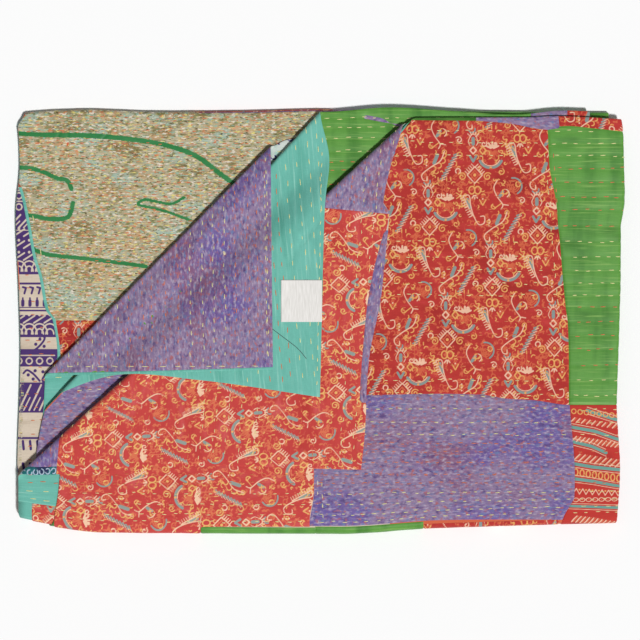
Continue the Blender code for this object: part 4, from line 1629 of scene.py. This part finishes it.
def sew_thread(name, stitches, colour):
    """Builds every stitch of one thread colour as a bent bead, all in one mesh."""
    rows = np.array(stitches)
    u, v, size, angle, face = (rows[:, k:k + 1] for k in range(5))
    along = bead_along[None, :]
    path_u = u + along * size / 2 * np.cos(angle)
    path_v = v + along * size / 2 * np.sin(angle)
    place, normal = surface(face[..., None], path_u, path_v)
    step = 0.5 * MM
    tangent = fold(path_u + step * np.cos(angle), path_v + step * np.sin(angle)) - place
    tangent /= np.maximum(np.linalg.norm(tangent, axis=-1, keepdims=True), 1e-12)
    side = np.cross(normal, tangent)
    dive = 1.0 * MM * np.abs(along) ** 3
    lift = PIECE_LIFT + relief(path_u, path_v) + 0.25 * MM - dive
    thick = STITCH_RADIUS * (1 - 0.25 * along**2)
    place = place + normal * (lift + bead_up[None, :] * thick)[..., None]
    place = place + side * (bead_side[None, :] * thick * 1.15)[..., None]
    count = len(rows)
    faces = bead_faces[None] + (np.arange(count) * len(bead_along))[:, None, None]
    mesh = bpy.data.meshes.new(name)
    mesh.from_pydata(place.reshape(-1, 3).tolist(), [], faces.reshape(-1, 3).tolist())
    mesh.shade_smooth()
    thing = bpy.data.objects.new(name, mesh)
    bpy.context.scene.collection.objects.link(thing)
    mesh.materials.append(thread_material(name, colour))
    fix = bmesh.new()
    fix.from_mesh(mesh)
    bmesh.ops.recalc_face_normals(fix, faces=fix.faces)
    fix.to_mesh(mesh)
    fix.free()
    print(name, "triangles", len(mesh.polygons))
    return thing


thread_colours = {"yellow": tint(244, 236, 164), "orange": tint(230, 124, 72)}
threads = [
    sew_thread("stitches_" + name, stitches, thread_colours[name]) for name, stitches in THREADS.items()
]

# %% [markdown]
# A loose end of dark thread lies on the teal corner beside the label. It is a curve with a round
# section, drawn through a few points that rest on the cloth, and then made a mesh.

# %% Loose thread
CORNER_LEVEL = 11
LOOSE_END = ((-66, -6), (-58, -12), (-46, -21), (-38, -27), (-30, -33), (-24, -39), (-17, -48))
LOOSE_RADIUS = 0.35 * MM
thread_x, thread_y = np.array(LOOSE_END).T * MM
thread_z = heights(thread_x, thread_y)[CORNER_LEVEL] + PIECE_LIFT + PUFF + LOOSE_RADIUS
thread_curve = bpy.data.curves.new("loose_thread", "CURVE")
thread_curve.dimensions = "3D"
thread_curve.bevel_depth = LOOSE_RADIUS
thread_curve.bevel_resolution = 1
thread_curve.use_fill_caps = True
line = thread_curve.splines.new("NURBS")
line.points.add(len(LOOSE_END) - 1)
for point, place in zip(line.points, zip(thread_x, thread_y, thread_z)):
    point.co = (*place, 1)
line.use_endpoint_u = True
loose_thread = bpy.data.objects.new("loose_thread", thread_curve)
bpy.context.scene.collection.objects.link(loose_thread)
deselect_all()
bpy.context.view_layer.objects.active = loose_thread
loose_thread.select_set(True)
bpy.ops.object.convert(target="MESH")
loose_thread = bpy.context.object
loose_thread.data.shade_smooth()
loose_thread.data.materials.clear()
loose_thread.data.materials.append(thread_material("dark_thread", tint(40, 52, 56)))
threads.append(loose_thread)
print("threads", [thing.name for thing in threads])

# %% [markdown]
# The label is a square of smooth tape, left blank, sewn on the teal corner. It lies on the cloth
# below it, just clear of the puffed rows, and bends with it.

# %% Label
LABEL_MIDDLE = (-23.2 * MM, 24.5 * MM)
LABEL_SIZE = (51.5 * MM, 52.7 * MM)
LABEL_THICKNESS = 0.45 * MM
deselect_all()
bpy.ops.mesh.primitive_grid_add(x_subdivisions=40, y_subdivisions=40, size=1)
label = bpy.context.object
label.name = label.data.name = "label_tape"
LABEL_LIFT = PIECE_LIFT + PUFF + CRINKLE + 0.1 * MM
label_share = np.array([vert.co[:2] for vert in label.data.vertices])
label_x = LABEL_MIDDLE[0] + label_share[:, 0] * LABEL_SIZE[0]
label_y = LABEL_MIDDLE[1] + label_share[:, 1] * LABEL_SIZE[1]
label_z = heights(label_x, label_y)[CORNER_LEVEL] + LABEL_LIFT
for vert, place in zip(label.data.vertices, zip(label_x, label_y, label_z)):
    vert.co = place
thicken = label.modifiers.new("thickness", "SOLIDIFY")
thicken.thickness = LABEL_THICKNESS
thicken.offset = 1
bpy.ops.object.modifier_apply(modifier="thickness")
label.data.shade_smooth()
label_cloth = bpy.data.materials.new("label_tape")
label_cloth.use_nodes = True
tree = label_cloth.node_tree
shader = tree.nodes["Principled BSDF"]
spots = tree.nodes.new("ShaderNodeTexCoord").outputs["Object"]
# The lighter vertical streaks are painted sheen of the satin tape.
sheen_streaks = noise(tree, spots, 900, 60, 2.0)
tape = mix_colours(tree, band(tree, sheen_streaks, 0.3, 0.7), tint(212, 209, 204), tint(232, 229, 225))
link(tree, tape, shader.inputs["Base Color"])
shader.inputs["Roughness"].default_value = 0.45
shader.inputs["Sheen Weight"].default_value = 0.3
label.data.materials.append(label_cloth)

# %% [markdown]
# Last, every piece rides on the one body, and the new cloth and label take the place of the imported quilt
# and label, which are hidden.

# %% Attaching and hiding
for thing in (quilt, *pieces.values(), *threads):
    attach(thing, "root")
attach(label, "root")
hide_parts("quilt")
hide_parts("label")
added = (quilt, label, *pieces.values(), *threads)
counts = {thing.name: sum(len(face.vertices) - 2 for face in thing.data.polygons) for thing in added}
print("triangles in all", sum(counts.values()), "and at most", max(counts.items(), key=lambda item: item[1]))
